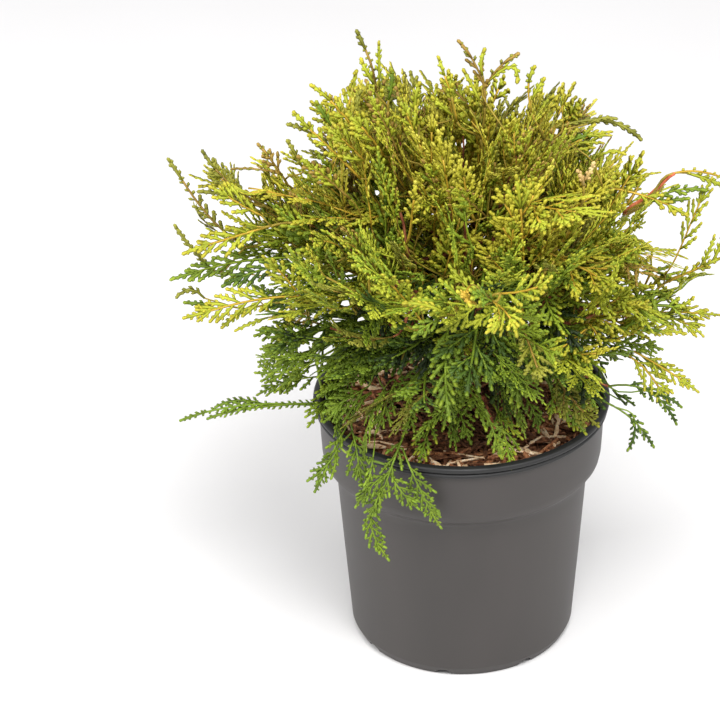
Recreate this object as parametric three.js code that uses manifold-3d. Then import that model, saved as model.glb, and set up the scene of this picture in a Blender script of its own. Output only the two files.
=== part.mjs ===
// A dwarf hinoki cypress in its nursery pot: pot, potting mix, short trunk, boughs and masses of foliage.
// Millimetres, +Z up. The origin is the middle of the pot's flat underside. +X is right, +Y is back,
// and a turn is in degrees from +X towards +Y.
import * as THREE from "three";
import { mergeVertices } from "three/addons/utils/BufferGeometryUtils.js";
import Module from "manifold-3d";

const GAP = 0.3; // clearance between neighbouring solids
const ROUND = 40; // facets round the pot and the potting mix

// ---- Pot ----------------------------------------------------------------------------------------------
const POT = {
  height: 162,
  wall: 1.7,
  floor: 2.4,
  footRadius: 66.2,
  chamferRadius: 68.8,
  chamferHeight: 6,
  bodyTopRadius: 77,
  ledgeHeight: 117,
  ledgeRise: 3,
  collarFootRadius: 84.4,
  collarTopRadius: 86.2,
  beadHeight: 155.4,
  beadRadius: 89.5,
};
const DRAIN = { count: 8, firstTurn: -147, width: 10, depth: 12, height: 4.2 };

// ---- Potting mix --------------------------------------------------------------------------------------
const MIX_TOP = 150;
const MIX_LEVEL_RADIUS = 34; // level round the trunk's foot
const MIX_ROUGHNESS = 1.6;

// ---- Trunk --------------------------------------------------------------------------------------------
const TRUNK = {
  foot: [11, 8],
  fork: [6, 6, 196],
  footRadius: 6.4,
  forkRadius: 5,
  flare: 4.6,
  flareHeight: 6,
  sides: 12,
  steps: 9,
};
const BOUGH_SIDES = 5;
const BOUGH_STEPS = 6;

// ---- Foliage ------------------------------------------------------------------------------------------
// Each mass: the turn it grows towards, its inner end and its furthest tip as [distance from the middle,
// height], its width and its thickness. "sweep" turns the tip aside.
const MASSES = {
  top_left: { turn: 168, inner: [16, 268], tip: [60, 396], width: 88, thickness: 70 },
  top_right: { turn: 8, inner: [20, 266], tip: [50, 378], width: 92, thickness: 70 },
  top_back: { turn: 84, inner: [18, 270], tip: [22, 386], width: 86, thickness: 68 },
  top_front: { turn: 272, inner: [18, 258], tip: [64, 350], width: 96, thickness: 64 },

  upper_left: { turn: 181, inner: [40, 250], tip: [162, 320], width: 96, thickness: 60 },
  upper_front_left: { turn: 230, inner: [38, 244], tip: [142, 314], width: 104, thickness: 62 },
  upper_front: { turn: 277, inner: [40, 236], tip: [132, 300], width: 100, thickness: 62 },
  upper_front_right: { turn: 322, inner: [44, 244], tip: [138, 316], width: 104, thickness: 62 },
  upper_right: { turn: 8, inner: [44, 250], tip: [120, 322], width: 96, thickness: 60 },
  upper_back_right: { turn: 54, inner: [40, 254], tip: [140, 316], width: 112, thickness: 64 },
  upper_back_left: { turn: 118, inner: [40, 254], tip: [138, 324], width: 120, thickness: 66 },

  middle_left: { turn: 176, inner: [52, 226], tip: [169, 258], width: 108, thickness: 58 },
  middle_front_left: { turn: 214, inner: [50, 218], tip: [158, 246], width: 96, thickness: 54 },
  middle_front: { turn: 256, inner: [48, 214], tip: [142, 240], width: 100, thickness: 52 },
  middle_front_right: { turn: 302, inner: [50, 214], tip: [145, 238], width: 104, thickness: 52 },
  middle_right: { turn: 348, inner: [56, 220], tip: [163, 250], width: 104, thickness: 56 },
  middle_back_right: { turn: 34, inner: [54, 224], tip: [163, 262], width: 108, thickness: 56 },
  middle_back: { turn: 82, inner: [50, 224], tip: [162, 260], width: 112, thickness: 56 },
  middle_back_left: { turn: 130, inner: [50, 224], tip: [165, 262], width: 116, thickness: 56 },

  lower_left: { turn: 188, inner: [62, 194], tip: [132, 184], width: 84, thickness: 38 },
  lower_front_left: { turn: 232, inner: [52, 190], tip: [118, 166], width: 84, thickness: 34 },
  lower_front: { turn: 282, inner: [52, 190], tip: [114, 172], width: 84, thickness: 32 },
  lower_right: { turn: 338, inner: [64, 194], tip: [142, 160], width: 88, thickness: 34 },
  lower_back_right: { turn: 44, inner: [62, 194], tip: [140, 182], width: 130, thickness: 40 },
  lower_back_left: { turn: 122, inner: [62, 194], tip: [140, 184], width: 130, thickness: 40 },

  low_left_spray: { turn: 204, inner: [104, 190], tip: [177, 186], width: 30, thickness: 13 },
  hanging_spray: { turn: 232, sweep: 11, inner: [105, 156], tip: [100, 103], width: 64, thickness: 15 },
  arching_shoot: { turn: 6, inner: [120, 290], tip: [168, 274], width: 50, thickness: 40 },
};
const MASS_SIDES = 10;
const MASS_RINGS = 9;
const TUFTING = 0.13; // how far single tufts stand out of a mass or sink into it, as a share
const POLE_GAP = 0.8; // between a bough's end and the mass it feeds

// ---- Colours: base colour, roughness ------------------------------------------------------------------
const FINISH = {
  pot: ["#625d5a", 0.5],
  mix: ["#4a3022", 0.95],
  bark: ["#6b4029", 0.9],
  top: ["#8f9a2c", 0.75],
  upper: ["#7f942c", 0.75],
  middle: ["#5f8a30", 0.75],
  lower: ["#3f7a2e", 0.75],
};

const wasm = await Module();
wasm.setup();

// ---- Solids -------------------------------------------------------------------------------------------
function closedGeometry(geometry) {
  const bare = geometry.clone();
  bare.deleteAttribute("normal");
  bare.deleteAttribute("uv");
  return mergeVertices(bare, 1e-4);
}

function toSolid(geometry) {
  const closed = closedGeometry(geometry);
  const mesh = new wasm.Mesh({
    numProp: 3,
    vertProperties: new Float32Array(closed.attributes.position.array),
    triVerts: new Uint32Array(closed.index.array),
  });
  return new wasm.Manifold(mesh);
}

function toGeometry(solid) {
  const mesh = solid.getMesh();
  const geometry = new THREE.BufferGeometry();
  geometry.setAttribute("position", new THREE.BufferAttribute(mesh.vertProperties, 3));
  geometry.setIndex(new THREE.BufferAttribute(mesh.triVerts, 1));
  geometry.computeVertexNormals();
  return geometry;
}

function largestBody(solid) {
  return solid.decompose().reduce((most, body) => (body.volume() > most.volume() ? body : most));
}

function material(finish) {
  const [color, roughness] = FINISH[finish];
  return new THREE.MeshStandardMaterial({ color, roughness, metalness: 0 });
}

function namedMesh(name, geometry, finish) {
  const mesh = new THREE.Mesh(geometry, material(finish));
  mesh.name = name;
  return mesh;
}

// A repeatable chance value from 0 to 1 for each call.
function chance(seed) {
  let state = seed;
  return () => {
    state = (state * 1664525 + 1013904223) % 4294967296;
    return state / 4294967296;
  };
}

function polar(turn, distance, height) {
  const angle = THREE.MathUtils.degToRad(turn);
  return new THREE.Vector3(distance * Math.cos(angle), distance * Math.sin(angle), height);
}

// A body of revolution round the Z axis, from [radius, height] pairs.
function turned(outline) {
  const points = outline.map(([radius, height]) => new THREE.Vector2(radius, height));
  return new THREE.LatheGeometry(points, ROUND).rotateX(Math.PI / 2);
}

// ---- Pot ----------------------------------------------------------------------------------------------
function potInside(clearance) {
  const inset = POT.wall + clearance;
  return [
    [POT.chamferRadius - inset, POT.floor + clearance],
    [POT.bodyTopRadius - inset, POT.ledgeHeight + clearance],
    [POT.collarFootRadius - inset, POT.ledgeHeight + POT.ledgeRise + clearance],
  ];
}

function drainSlots() {
  const slots = [];
  for (let i = 0; i < DRAIN.count; i += 1) {
    const turn = DRAIN.firstTurn + (360 / DRAIN.count) * i;
    const slot = new THREE.BoxGeometry(DRAIN.depth, DRAIN.width, 2 * DRAIN.height);
    slot.rotateZ(THREE.MathUtils.degToRad(turn));
    const middle = polar(turn, POT.chamferRadius - 1, 0);
    slots.push(toSolid(slot.translate(middle.x, middle.y, middle.z)));
  }
  return slots;
}

function potBody() {
  const { height, wall, floor, beadHeight, beadRadius } = POT;
  const outside = [
    [0, 0],
    [POT.footRadius, 0],
    [POT.chamferRadius, POT.chamferHeight],
    [POT.bodyTopRadius, POT.ledgeHeight - 1],
    [POT.collarFootRadius, POT.ledgeHeight + POT.ledgeRise],
    [POT.collarTopRadius, beadHeight],
    [beadRadius, beadHeight + 0.8],
    [beadRadius, height - 1.6],
    [beadRadius - 1.4, height],
  ];
  const rimInside = [
    [POT.collarTopRadius - 0.2, height],
    [POT.collarTopRadius - wall, height - 3],
  ];
  const outline = [...outside, ...rimInside, ...potInside(0).reverse(), [0, floor]];
  const pot = drainSlots().reduce((body, slot) => body.subtract(slot), toSolid(turned(outline)));
  return toGeometry(pot);
}

// ---- Potting mix --------------------------------------------------------------------------------------
function mixBody() {
  const inside = potInside(GAP);
  const edge = POT.collarTopRadius - POT.wall - GAP - 1;
  const crownRadii = [edge - 8, edge - 22, MIX_LEVEL_RADIUS];
  const outline = [
    [0, inside[0][1]],
    ...inside,
    [edge, MIX_TOP],
    ...crownRadii.map((radius) => [radius, MIX_TOP]),
    [0, MIX_TOP],
  ];
  const geometry = closedGeometry(turned(outline));
  const random = chance(7);
  const position = geometry.attributes.position;
  for (let i = 0; i < position.count; i += 1) {
    const radius = Math.hypot(position.getX(i), position.getY(i));
    if (position.getZ(i) > MIX_TOP - 1 && radius > MIX_LEVEL_RADIUS + 1) {
      position.setZ(i, MIX_TOP + MIX_ROUGHNESS * (2 * random() - 1));
    }
  }
  return geometry;
}

// ---- Limbs and masses ---------------------------------------------------------------------------------
// Lays a unit cylinder or sphere (its axis along Y, from -1 to 1) along a curve. "sideways" is the
// direction of its width, and reach(along, angle) is the distance from the curve to the surface.
function laidAlong(unit, curve, sideways, alongOf, reach, centreOf = (point) => point) {
  const geometry = closedGeometry(unit);
  const position = geometry.attributes.position;
  const spot = new THREE.Vector3();
  for (let i = 0; i < position.count; i += 1) {
    spot.fromBufferAttribute(position, i);
    const along = alongOf(spot.y);
    const angle = Math.atan2(spot.z, spot.x);
    const isRound = Math.hypot(spot.x, spot.z) > 1e-3;
    const tangent = curve.getTangentAt(along);
    const across = sideways.clone().addScaledVector(tangent, -sideways.dot(tangent)).normalize();
    const over = new THREE.Vector3().crossVectors(across, tangent);
    const centre = centreOf(curve.getPointAt(along));
    const ray = across.multiplyScalar(Math.cos(angle)).addScaledVector(over, Math.sin(angle));
    if (isRound) centre.addScaledVector(ray, reach(along, angle, centre, ray));
    position.setXYZ(i, centre.x, centre.y, centre.z);
  }
  return geometry;
}

function levelAcross(from, to) {
  const flat = new THREE.Vector3(from.y - to.y, to.x - from.x, 0);
  return flat.lengthSq() > 1 ? flat.normalize() : new THREE.Vector3(0, 1, 0);
}

function limbGeometry(limb, extra = 0) {
  const unit = new THREE.CylinderGeometry(1, 1, 2, limb.sides, limb.steps);
  const points = limb.curve.getPoints(2);
  const sideways = levelAcross(points[0], points[2]);
  const reach = (along, angle) => limb.radiusAt(along, angle) + extra;
  return laidAlong(unit, limb.curve, sideways, (y) => (y + 1) / 2, reach);
}

function makeTrunk() {
  const [footX, footY] = TRUNK.foot;
  const foot = new THREE.Vector3(footX, footY, MIX_TOP + GAP);
  const fork = new THREE.Vector3(...TRUNK.fork);
  const rise = fork.z - foot.z;
  const bend = new THREE.Vector3(footX, footY, foot.z + 0.5 * rise);
  const radiusAt = (along, angle) => {
    const height = along * rise;
    const lobes = 1 + 0.3 * Math.cos(5 * angle + 0.6) + 0.15 * Math.cos(2 * angle);
    const flare = TRUNK.flare * lobes * Math.exp(-height / TRUNK.flareHeight);
    return THREE.MathUtils.lerp(TRUNK.footRadius, TRUNK.forkRadius, along) + flare;
  };
  const curve = new THREE.QuadraticBezierCurve3(foot, bend, fork);
  return { name: "trunk", curve, radiusAt, sides: TRUNK.sides, steps: TRUNK.steps };
}

// A mass's straight axis, with its cross-section's half-sizes.
function massPlan(name, spec) {
  const inner = polar(spec.turn, ...spec.inner);
  const tip = polar(spec.turn + (spec.sweep ?? 0), ...spec.tip);
  const direction = tip.clone().sub(inner).normalize();
  const across = polar(spec.turn + 90, 1, 0);
  across.addScaledVector(direction, -across.dot(direction)).normalize();
  const under = new THREE.Vector3().crossVectors(across, direction);
  const halfWidth = spec.width / 2;
  const halfThickness = spec.thickness / 2;
  const reachTowards = (way) => Math.hypot(way.dot(across) * halfWidth, way.dot(under) * halfThickness);
  return { name, inner, tip, direction, across, under, halfWidth, halfThickness, reachTowards, walls: [] };
}

// How each mass hangs on its limb: the parent, how far along it the fork is, and the radii at both ends.
function boughPlans() {
  const plans = [];
  const add = (name, parent, fork, base, end) => plans.push({ name, parent, fork, base, end });
  ["top_left", "top_right", "top_back", "top_front"].forEach((name, i) => {
    add(name, "trunk", 0.97 - 0.03 * i, 3.4, 1.6);
  });
  const main = Object.keys(MASSES).filter((name) => name.startsWith("middle_"));
  main.forEach((name, i) => add(name, "trunk", 0.86 - 0.07 * (i % 4), 3.2, 1.6));
  Object.keys(MASSES).forEach((name) => {
    const direction = name.replace(/^(upper|lower)_/, "");
    if (name.startsWith("upper_")) add(name, `middle_${direction}`, 0.42, 2.4, 1.4);
    if (name.startsWith("lower_")) add(name, `middle_${direction}`, 0.3, 2.2, 1.3);
  });
  add("arching_shoot", "upper_right", 0.9, 1.4, 1);
  return plans;
}

function boughCurve(start, leaving, mass) {
  const end = mass.inner.clone().addScaledVector(mass.direction, -POLE_GAP);
  const span = start.distanceTo(end);
  const first = start.clone().addScaledVector(leaving, 0.4 * span);
  const second = end.clone().addScaledVector(mass.direction, -0.35 * span);
  return new THREE.CubicBezierCurve3(start, first, second, end);
}

function makeBoughs(trunk, masses) {
  const limbs = new Map([["trunk", trunk]]);
  for (const plan of boughPlans()) {
    const parent = limbs.get(plan.parent);
    const mass = masses.get(plan.name);
    const start = parent.curve.getPointAt(plan.fork);
    const outward = new THREE.Vector3(mass.inner.x - start.x, mass.inner.y - start.y, 0).normalize();
    const leaving = parent.curve.getTangentAt(plan.fork).multiplyScalar(0.6).add(outward).normalize();
    const curve = boughCurve(start, leaving, mass);
    const radiusAt = (along) => {
      const collar = 0.25 * plan.base * Math.exp(-along * 14);
      return THREE.MathUtils.lerp(plan.base, plan.end, along ** 0.8) + collar;
    };
    limbs.set(plan.name, { name: plan.name, curve, radiusAt, sides: BOUGH_SIDES, steps: BOUGH_STEPS });
  }
  return limbs;
}

// A wall keeps every point p of a mass where normal . p <= limit.
function wallBetweenMasses(mass, other) {
  const near = new THREE.Vector3();
  const far = new THREE.Vector3();
  const axis = new THREE.Line3(mass.inner, mass.tip);
  axis.distanceSqToLine3(new THREE.Line3(other.inner, other.tip), near, far);
  const normal = far.clone().sub(near).normalize();
  const share = mass.reachTowards(normal) / (mass.reachTowards(normal) + other.reachTowards(normal));
  return { normal, limit: normal.dot(near.clone().lerp(far, share)) - GAP / 2 };
}

function wallsBesideLimb(mass, limb) {
  const walls = [];
  const axis = new THREE.Line3(mass.inner, mass.tip);
  const near = new THREE.Vector3();
  const far = new THREE.Vector3();
  const points = limb.curve.getSpacedPoints(limb.steps);
  for (let i = 0; i < limb.steps; i += 1) {
    axis.distanceSqToLine3(new THREE.Line3(points[i], points[i + 1]), near, far);
    const normal = far.clone().sub(near).normalize();
    const clear = limb.radiusAt(i / limb.steps, 0) + 2 * GAP;
    walls.push({ normal, limit: normal.dot(far) - clear });
  }
  return walls;
}

// The plane along the mass that touches the pot's rim, so that the mass lies or hangs over it.
function wallOverRim(mass) {
  const turn = THREE.MathUtils.radToDeg(Math.atan2(mass.inner.y + mass.tip.y, mass.inner.x + mass.tip.x));
  const rim = polar(turn, POT.beadRadius + 2 * GAP, POT.height + 2 * GAP);
  return { normal: mass.under, limit: mass.under.dot(rim) };
}

function insideWalls(mass, point) {
  for (const { normal, limit } of mass.walls) {
    const over = normal.dot(point) - limit;
    if (over > -1) point.addScaledVector(normal, -over - 1);
  }
  return point;
}

function reachInsideWalls(mass, centre, ray, wanted) {
  return mass.walls.reduce((reach, { normal, limit }) => {
    const slope = normal.dot(ray);
    return slope > 1e-6 ? Math.min(reach, (limit - normal.dot(centre)) / slope) : reach;
  }, wanted);
}

// An uneven body: narrow where it starts, fullest past its middle, with blunt lobes at its tip.
function massGeometry(mass, seed) {
  const random = chance(seed);
  const phases = Array.from({ length: 5 }, () => 2 * Math.PI * random());
  const unit = new THREE.SphereGeometry(1, MASS_SIDES, MASS_RINGS);
  const curve = new THREE.LineCurve3(mass.inner, mass.tip);
  const reach = (along, angle, centre, ray) => {
    const ellipse = 1 / Math.hypot(Math.cos(angle) / mass.halfWidth, Math.sin(angle) / mass.halfThickness);
    const fullness = Math.sin(Math.PI * along ** 0.85) ** 0.5;
    const tuft = 1 + TUFTING * (2 * random() - 1);
    const lobes =
      1 +
      0.16 * Math.sin(3 * angle + phases[0] + 4 * along) +
      0.12 * Math.sin(2 * angle + phases[1] - 9 * along) +
      0.1 * Math.sin(16 * along + phases[2]) +
      0.1 * Math.sin(5 * angle + phases[3]) * along;
    return reachInsideWalls(mass, centre, ray, ellipse * fullness * lobes * tuft);
  };
  const alongOf = (y) => Math.acos(THREE.MathUtils.clamp(-y, -1, 1)) / Math.PI;
  return laidAlong(unit, curve, mass.across, alongOf, reach, (point) => insideWalls(mass, point));
}

// ---- Assembly -----------------------------------------------------------------------------------------
const plant = new THREE.Group();
plant.add(namedMesh("pot", potBody(), "pot"));
plant.add(namedMesh("potting_mix", mixBody(), "mix"));

const trunk = makeTrunk();
const masses = new Map(Object.entries(MASSES).map(([name, spec]) => [name, massPlan(name, spec)]));
const limbs = makeBoughs(trunk, masses);

const grown = [];
for (const limb of limbs.values()) {
  let body = toSolid(limbGeometry(limb));
  for (const older of grown) body = body.subtract(older);
  grown.push(toSolid(limbGeometry(limb, GAP)));
  const name = limb.name === "trunk" ? "trunk" : `bough_${limb.name}`;
  plant.add(namedMesh(name, toGeometry(largestBody(body)), "bark"));
}

[...masses.values()].forEach((mass, i, all) => {
  all.filter((other) => other !== mass).forEach((other) => mass.walls.push(wallBetweenMasses(mass, other)));
  for (const limb of limbs.values()) {
    if (limb.name !== mass.name) mass.walls.push(...wallsBesideLimb(mass, limb));
  }
  mass.walls.push(wallOverRim(mass));
  const tier = mass.name.split("_")[0];
  const finish = FINISH[tier] ? tier : "lower";
  plant.add(namedMesh(`foliage_${mass.name}`, massGeometry(mass, 11 + i), finish));
});

export default plant;
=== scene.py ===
"""Looks of a dwarf hinoki cypress in its nursery pot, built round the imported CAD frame.

Shapes are worked out in millimetres in the frame's own axes (+X right, +Y back, +Z up, origin in the
middle of the pot's underside) and become metres only when a mesh is made.
"""

import math

import bpy
import numpy as np
from mathutils import Matrix, Vector
from mathutils.bvhtree import BVHTree


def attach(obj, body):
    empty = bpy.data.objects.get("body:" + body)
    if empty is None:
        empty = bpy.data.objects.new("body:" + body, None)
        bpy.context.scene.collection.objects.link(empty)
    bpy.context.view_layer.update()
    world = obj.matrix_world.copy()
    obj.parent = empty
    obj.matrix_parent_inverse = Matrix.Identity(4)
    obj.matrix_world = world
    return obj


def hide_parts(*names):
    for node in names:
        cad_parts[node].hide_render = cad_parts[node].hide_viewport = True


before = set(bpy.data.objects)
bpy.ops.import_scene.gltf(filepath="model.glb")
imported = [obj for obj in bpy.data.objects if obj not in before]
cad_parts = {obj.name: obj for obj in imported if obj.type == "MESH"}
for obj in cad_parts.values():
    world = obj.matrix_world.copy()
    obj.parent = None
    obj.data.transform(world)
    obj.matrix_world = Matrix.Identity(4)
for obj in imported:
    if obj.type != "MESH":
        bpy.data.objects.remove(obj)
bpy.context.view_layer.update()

MM = 0.001
FULL_TURN = 2 * math.pi
UP = np.array([0.0, 0.0, 1.0])
rng = np.random.default_rng(41)

# ---- The view: a long lens that looks down on the plant ------------------------------------------------
CAMERA_AT = (-60.6, -1569.5, 1084.0)
CAMERA_PITCH = 29.8
CAMERA_ROLL = 1.28
LENS_MM = 151.0

# ---- Where the trunk forks, and where it leaves the mulch ----------------------------------------------
FORK = np.array([8.0, 6.0, 196.0])
TRUNK_X, TRUNK_Y = 11, 8


# ======== Vectors and meshes ============================================================================
def unit(v):
    return v / np.maximum(np.linalg.norm(v, axis=-1, keepdims=True), 1e-9)


def square_to(direction, wanted):
    """The part of wanted that is square to direction, as unit vectors."""
    return unit(wanted - direction * (wanted * direction).sum(-1, keepdims=True))


def smooth(a, b, x):
    """A soft step from 0 at a to 1 at b."""
    t = np.clip((x - a) / (b - a), 0, 1)
    return t * t * (3 - 2 * t)


def gaps_to(place, points):
    """How far each point is from a place, or from the place in its own row."""
    return np.linalg.norm(points - place, axis=-1)


def distances_along(path):
    """How far along a path each of its points is."""
    return np.concatenate([[0], np.cumsum(gaps_to(path[:-1], path[1:]))])


def point_at(path, s, at):
    """The points at distances `at` along a path whose own points are at distances s."""
    return np.stack([np.interp(at, s, path[:, i]) for i in range(3)], -1)


def ring_triangles(rings, sides):
    """Triangles over rings of vertices, closed by a foot and a head vertex that follow them."""
    i, j = np.meshgrid(np.arange(rings - 1), np.arange(sides), indexing="ij")
    a, b = (i * sides + j).ravel(), (i * sides + (j + 1) % sides).ravel()
    walls = [np.stack([a, b, b + sides], 1), np.stack([a, b + sides, a + sides], 1)]
    k = np.arange(sides)
    after = (k + 1) % sides
    top = (rings - 1) * sides
    low = np.stack([np.full(sides, rings * sides), after, k], 1)
    high = np.stack([np.full(sides, rings * sides + 1), top + k, top + after], 1)
    return np.concatenate([*walls, low, high])


def make_mesh(name, verts, tris):
    """A smooth-shaded mesh object from vertices in millimetres and triangles."""
    mesh = bpy.data.meshes.new(name)
    verts = np.asarray(verts, np.float32) * MM
    tris = np.asarray(tris, np.int32)
    mesh.vertices.add(len(verts))
    mesh.vertices.foreach_set("co", verts.ravel())
    mesh.loops.add(3 * len(tris))
    mesh.loops.foreach_set("vertex_index", tris.ravel())
    mesh.polygons.add(len(tris))
    mesh.polygons.foreach_set("loop_start", np.arange(0, 3 * len(tris), 3, dtype=np.int32))
    mesh.polygons.foreach_set("use_smooth", np.ones(len(tris), bool))
    mesh.update(calc_edges=True)
    made = bpy.data.objects.new(name, mesh)
    bpy.context.scene.collection.objects.link(made)
    return made


def finish(piece, material, slot, *nodes):
    """Gives a piece its material and body, and hides the CAD nodes it stands for; the slot is not used."""
    piece.data.materials.clear()
    piece.data.materials.append(material)
    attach(piece, "root")
    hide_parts(*nodes)


class Heap:
    """Collects small meshes, and the CAD nodes they stand for, that become one piece."""

    def __init__(self):
        self.verts, self.tris, self.nodes, self.count = [], [], set(), 0

    def add(self, verts, tris, node):
        self.verts.append(verts)
        self.tris.append(tris + self.count)
        self.count += len(verts)
        self.nodes.add(node)

    def piece(self, name, material, slot):
        made = make_mesh(name, np.concatenate(self.verts), np.concatenate(self.tris))
        finish(made, material, slot, *sorted(self.nodes))


# ======== Materials =====================================================================================
MIX_A, MIX_B, MIX_RESULT = 6, 7, 2  # a Mix node's sockets for colours


def linear(r, g, b):
    """An sRGB colour from 0 to 255 as Blender's linear one."""
    c = np.array([r, g, b]) / 255
    return tuple(np.where(c <= 0.04045, c / 12.92, ((c + 0.055) / 1.055) ** 2.4)) + (1.0,)


def shader(name, roughness, specular):
    """A new material, its node tree and its shader node."""
    material = bpy.data.materials.new(name)
    material.use_nodes = True
    bsdf = material.node_tree.nodes["Principled BSDF"]
    bsdf.inputs["Roughness"].default_value = roughness
    bsdf.inputs["Specular IOR Level"].default_value = specular
    return material, material.node_tree, bsdf


def link(tree, a, out, b, into):
    tree.links.new(a.outputs[out], b.inputs[into])


def noise(tree, scale, detail, stretch=None):
    """Noise in object space; scale is in features per metre, and stretch scales the axes."""
    source, out = tree.nodes.new("ShaderNodeTexCoord"), "Object"
    if stretch:
        mapping = tree.nodes.new("ShaderNodeMapping")
        mapping.inputs["Scale"].default_value = stretch
        link(tree, source, out, mapping, "Vector")
        source, out = mapping, "Vector"
    texture = tree.nodes.new("ShaderNodeTexNoise")
    texture.inputs["Scale"].default_value = scale
    texture.inputs["Detail"].default_value = detail
    link(tree, source, out, texture, "Vector")
    return texture


def ramp(tree, source, stops):
    """Runs through stops, each a place and a linear colour, with the source's noise."""
    made = tree.nodes.new("ShaderNodeValToRGB")
    elements = made.color_ramp.elements
    while len(elements) < len(stops):
        elements.new(0.5)
    for element, (place, colour) in zip(elements, stops):
        element.position = place
        element.color = colour
    link(tree, source, "Fac", made, "Fac")
    return made


def bump(tree, bsdf, source, strength, distance_mm):
    made = tree.nodes.new("ShaderNodeBump")
    made.inputs["Strength"].default_value = strength
    made.inputs["Distance"].default_value = distance_mm * MM
    link(tree, source, "Fac", made, "Height")
    link(tree, made, "Normal", bsdf, "Normal")


def mottled(name, colours, places, texture, roughness, specular):
    """A material that runs through three sRGB colours with noise, and the nodes for its relief."""
    material, tree, bsdf = shader(name, roughness, specular)
    mottle = noise(tree, *texture)
    stops = [(place, linear(*colour)) for place, colour in zip(places, colours)]
    link(tree, ramp(tree, mottle, stops), "Color", bsdf, "Base Color")
    return material, tree, bsdf, mottle


def leaf_material(name, colours):
    """Scale leaves: mottled between three close greens, with the fine relief of overlapping scales."""
    looks = mottled(name, colours, (0.25, 0.51, 0.77), texture=(75, 2.0), roughness=0.55, specular=0.25)
    material, tree, bsdf, _ = looks
    bump(tree, bsdf, noise(tree, 900, 1.0), strength=0.3, distance_mm=0.35)
    return material


def bark_material(name, colours, scale=260):
    """Bark: upright strips in both colour and relief."""
    texture = (scale, 5.0, (1, 1, 0.22))
    looks = mottled(name, colours, (0.32, 0.5, 0.68), texture, roughness=0.82, specular=0.25)
    material, tree, bsdf, strips = looks
    bump(tree, bsdf, strips, strength=0.8, distance_mm=0.5)
    return material


def mix_material():
    """Damp potting mix: dark crumbs."""
    colours = ((44, 27, 18), (84, 52, 34), (130, 88, 60))
    texture = (420, 5.0)
    looks = mottled("damp_potting_mix", colours, (0.35, 0.52, 0.7), texture, roughness=0.9, specular=0.2)
    material, tree, bsdf, crumbs = looks
    bump(tree, bsdf, crumbs, strength=1.0, distance_mm=1.2)
    return material


def map_range(tree, source, out, ends, low, high):
    """Maps the source's value, with the ends "From" or "To" set and the others 0 and 1."""
    made = tree.nodes.new("ShaderNodeMapRange")
    made.inputs[ends + " Min"].default_value = low
    made.inputs[ends + " Max"].default_value = high
    link(tree, source, out, made, "Value")
    return made


def plastic_material():
    """Moulded polypropylene: dark warm grey and satin, with lighter upright streaks of painted sheen, and
    painted shade that darkens the rolled rim.
    """
    material, tree, bsdf = shader("moulded_polypropylene", roughness=0.5, specular=0.42)
    # Lighter upright streaks in the grey are painted sheen; the same noise also varies the roughness
    cloud = noise(tree, 14, 4.0, (1, 1, 0.35))
    satin = ramp(tree, cloud, [(0.3, linear(52, 49, 47)), (0.7, linear(60, 56, 54))])
    place = tree.nodes.new("ShaderNodeTexCoord")
    height = tree.nodes.new("ShaderNodeSeparateXYZ")
    link(tree, place, "Object", height, "Vector")
    shade_from, shade_to = RIM_PAINTED_SHADE
    rim = map_range(tree, height, "Z", "From", shade_from * MM, shade_to * MM)
    mix = tree.nodes.new("ShaderNodeMix")
    mix.data_type = "RGBA"
    # The dark grey over the rim is painted shade
    mix.inputs[MIX_B].default_value = linear(26, 26, 26)
    link(tree, rim, "Result", mix, "Factor")
    link(tree, satin, "Color", mix, MIX_A)
    link(tree, mix, MIX_RESULT, bsdf, "Base Color")
    link(tree, map_range(tree, cloud, "Fac", "To", 0.42, 0.56), "Result", bsdf, "Roughness")
    bump(tree, bsdf, noise(tree, 1500, 2.0), strength=0.12, distance_mm=0.1)
    return material


# ---- Colours, each as three close sRGB ones: of the leaves with their slots, the twigs with their slots
# ---- and looks, the mulch, and the bark of the trunk and the boughs
LEAVES = {
    # The darkest leaves, deep and dark, mostly carry painted shade: inner sprays and sprays set back fall to
    # them
    "deep": ("foliage_dark", (19, 28, 11), (32, 45, 16), (44, 60, 22)),
    "dark": ("foliage_dark", (44, 60, 19), (64, 86, 26), (86, 108, 34)),
    "green": ("foliage_green", (74, 92, 23), (102, 123, 31), (128, 148, 42)),
    "fern": ("foliage_green", (82, 102, 27), (112, 137, 37), (138, 162, 48)),
    "leaf": ("foliage_green", (96, 112, 26), (124, 142, 36), (148, 166, 46)),
    "lime": ("foliage_lime", (124, 131, 31), (154, 160, 41), (178, 182, 55)),
    "yellow": ("foliage_lime", (138, 133, 32), (168, 161, 44), (192, 184, 60)),
    "pale": ("foliage_lime", (146, 140, 42), (178, 170, 58), (200, 192, 80)),
    "gold": ("foliage_gold", (140, 112, 30), (176, 144, 42), (204, 172, 66)),
    "olive": ("foliage_bronze", (92, 94, 30), (126, 126, 42), (150, 148, 56)),
    "bronze": ("foliage_bronze", (106, 84, 34), (142, 116, 50), (170, 142, 68)),
    "dead": ("foliage_gold", (150, 112, 62), (198, 168, 108), (226, 204, 150)),
}
TWIGS = {
    "green": ("foliage_green", leaf_material, (76, 100, 30), (104, 126, 40), (134, 150, 54)),
    "olive": ("foliage_lime", leaf_material, (104, 92, 34), (140, 122, 42), (170, 146, 56)),
    "woody": ("bark", bark_material, (84, 42, 28), (128, 70, 46), (168, 106, 72)),
    "salmon": ("bark", bark_material, (158, 74, 48), (196, 104, 70), (218, 134, 94)),
}
MULCH = {
    "dark": ((66, 40, 26), (104, 66, 43), (138, 94, 64)),
    "brown": ((122, 76, 50), (166, 108, 72), (200, 146, 104)),
    "tan": ((216, 172, 130), (244, 210, 168), (252, 234, 206)),
}
LIMB_BARK = ((66, 35, 24), (112, 64, 43), (156, 102, 72))


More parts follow.
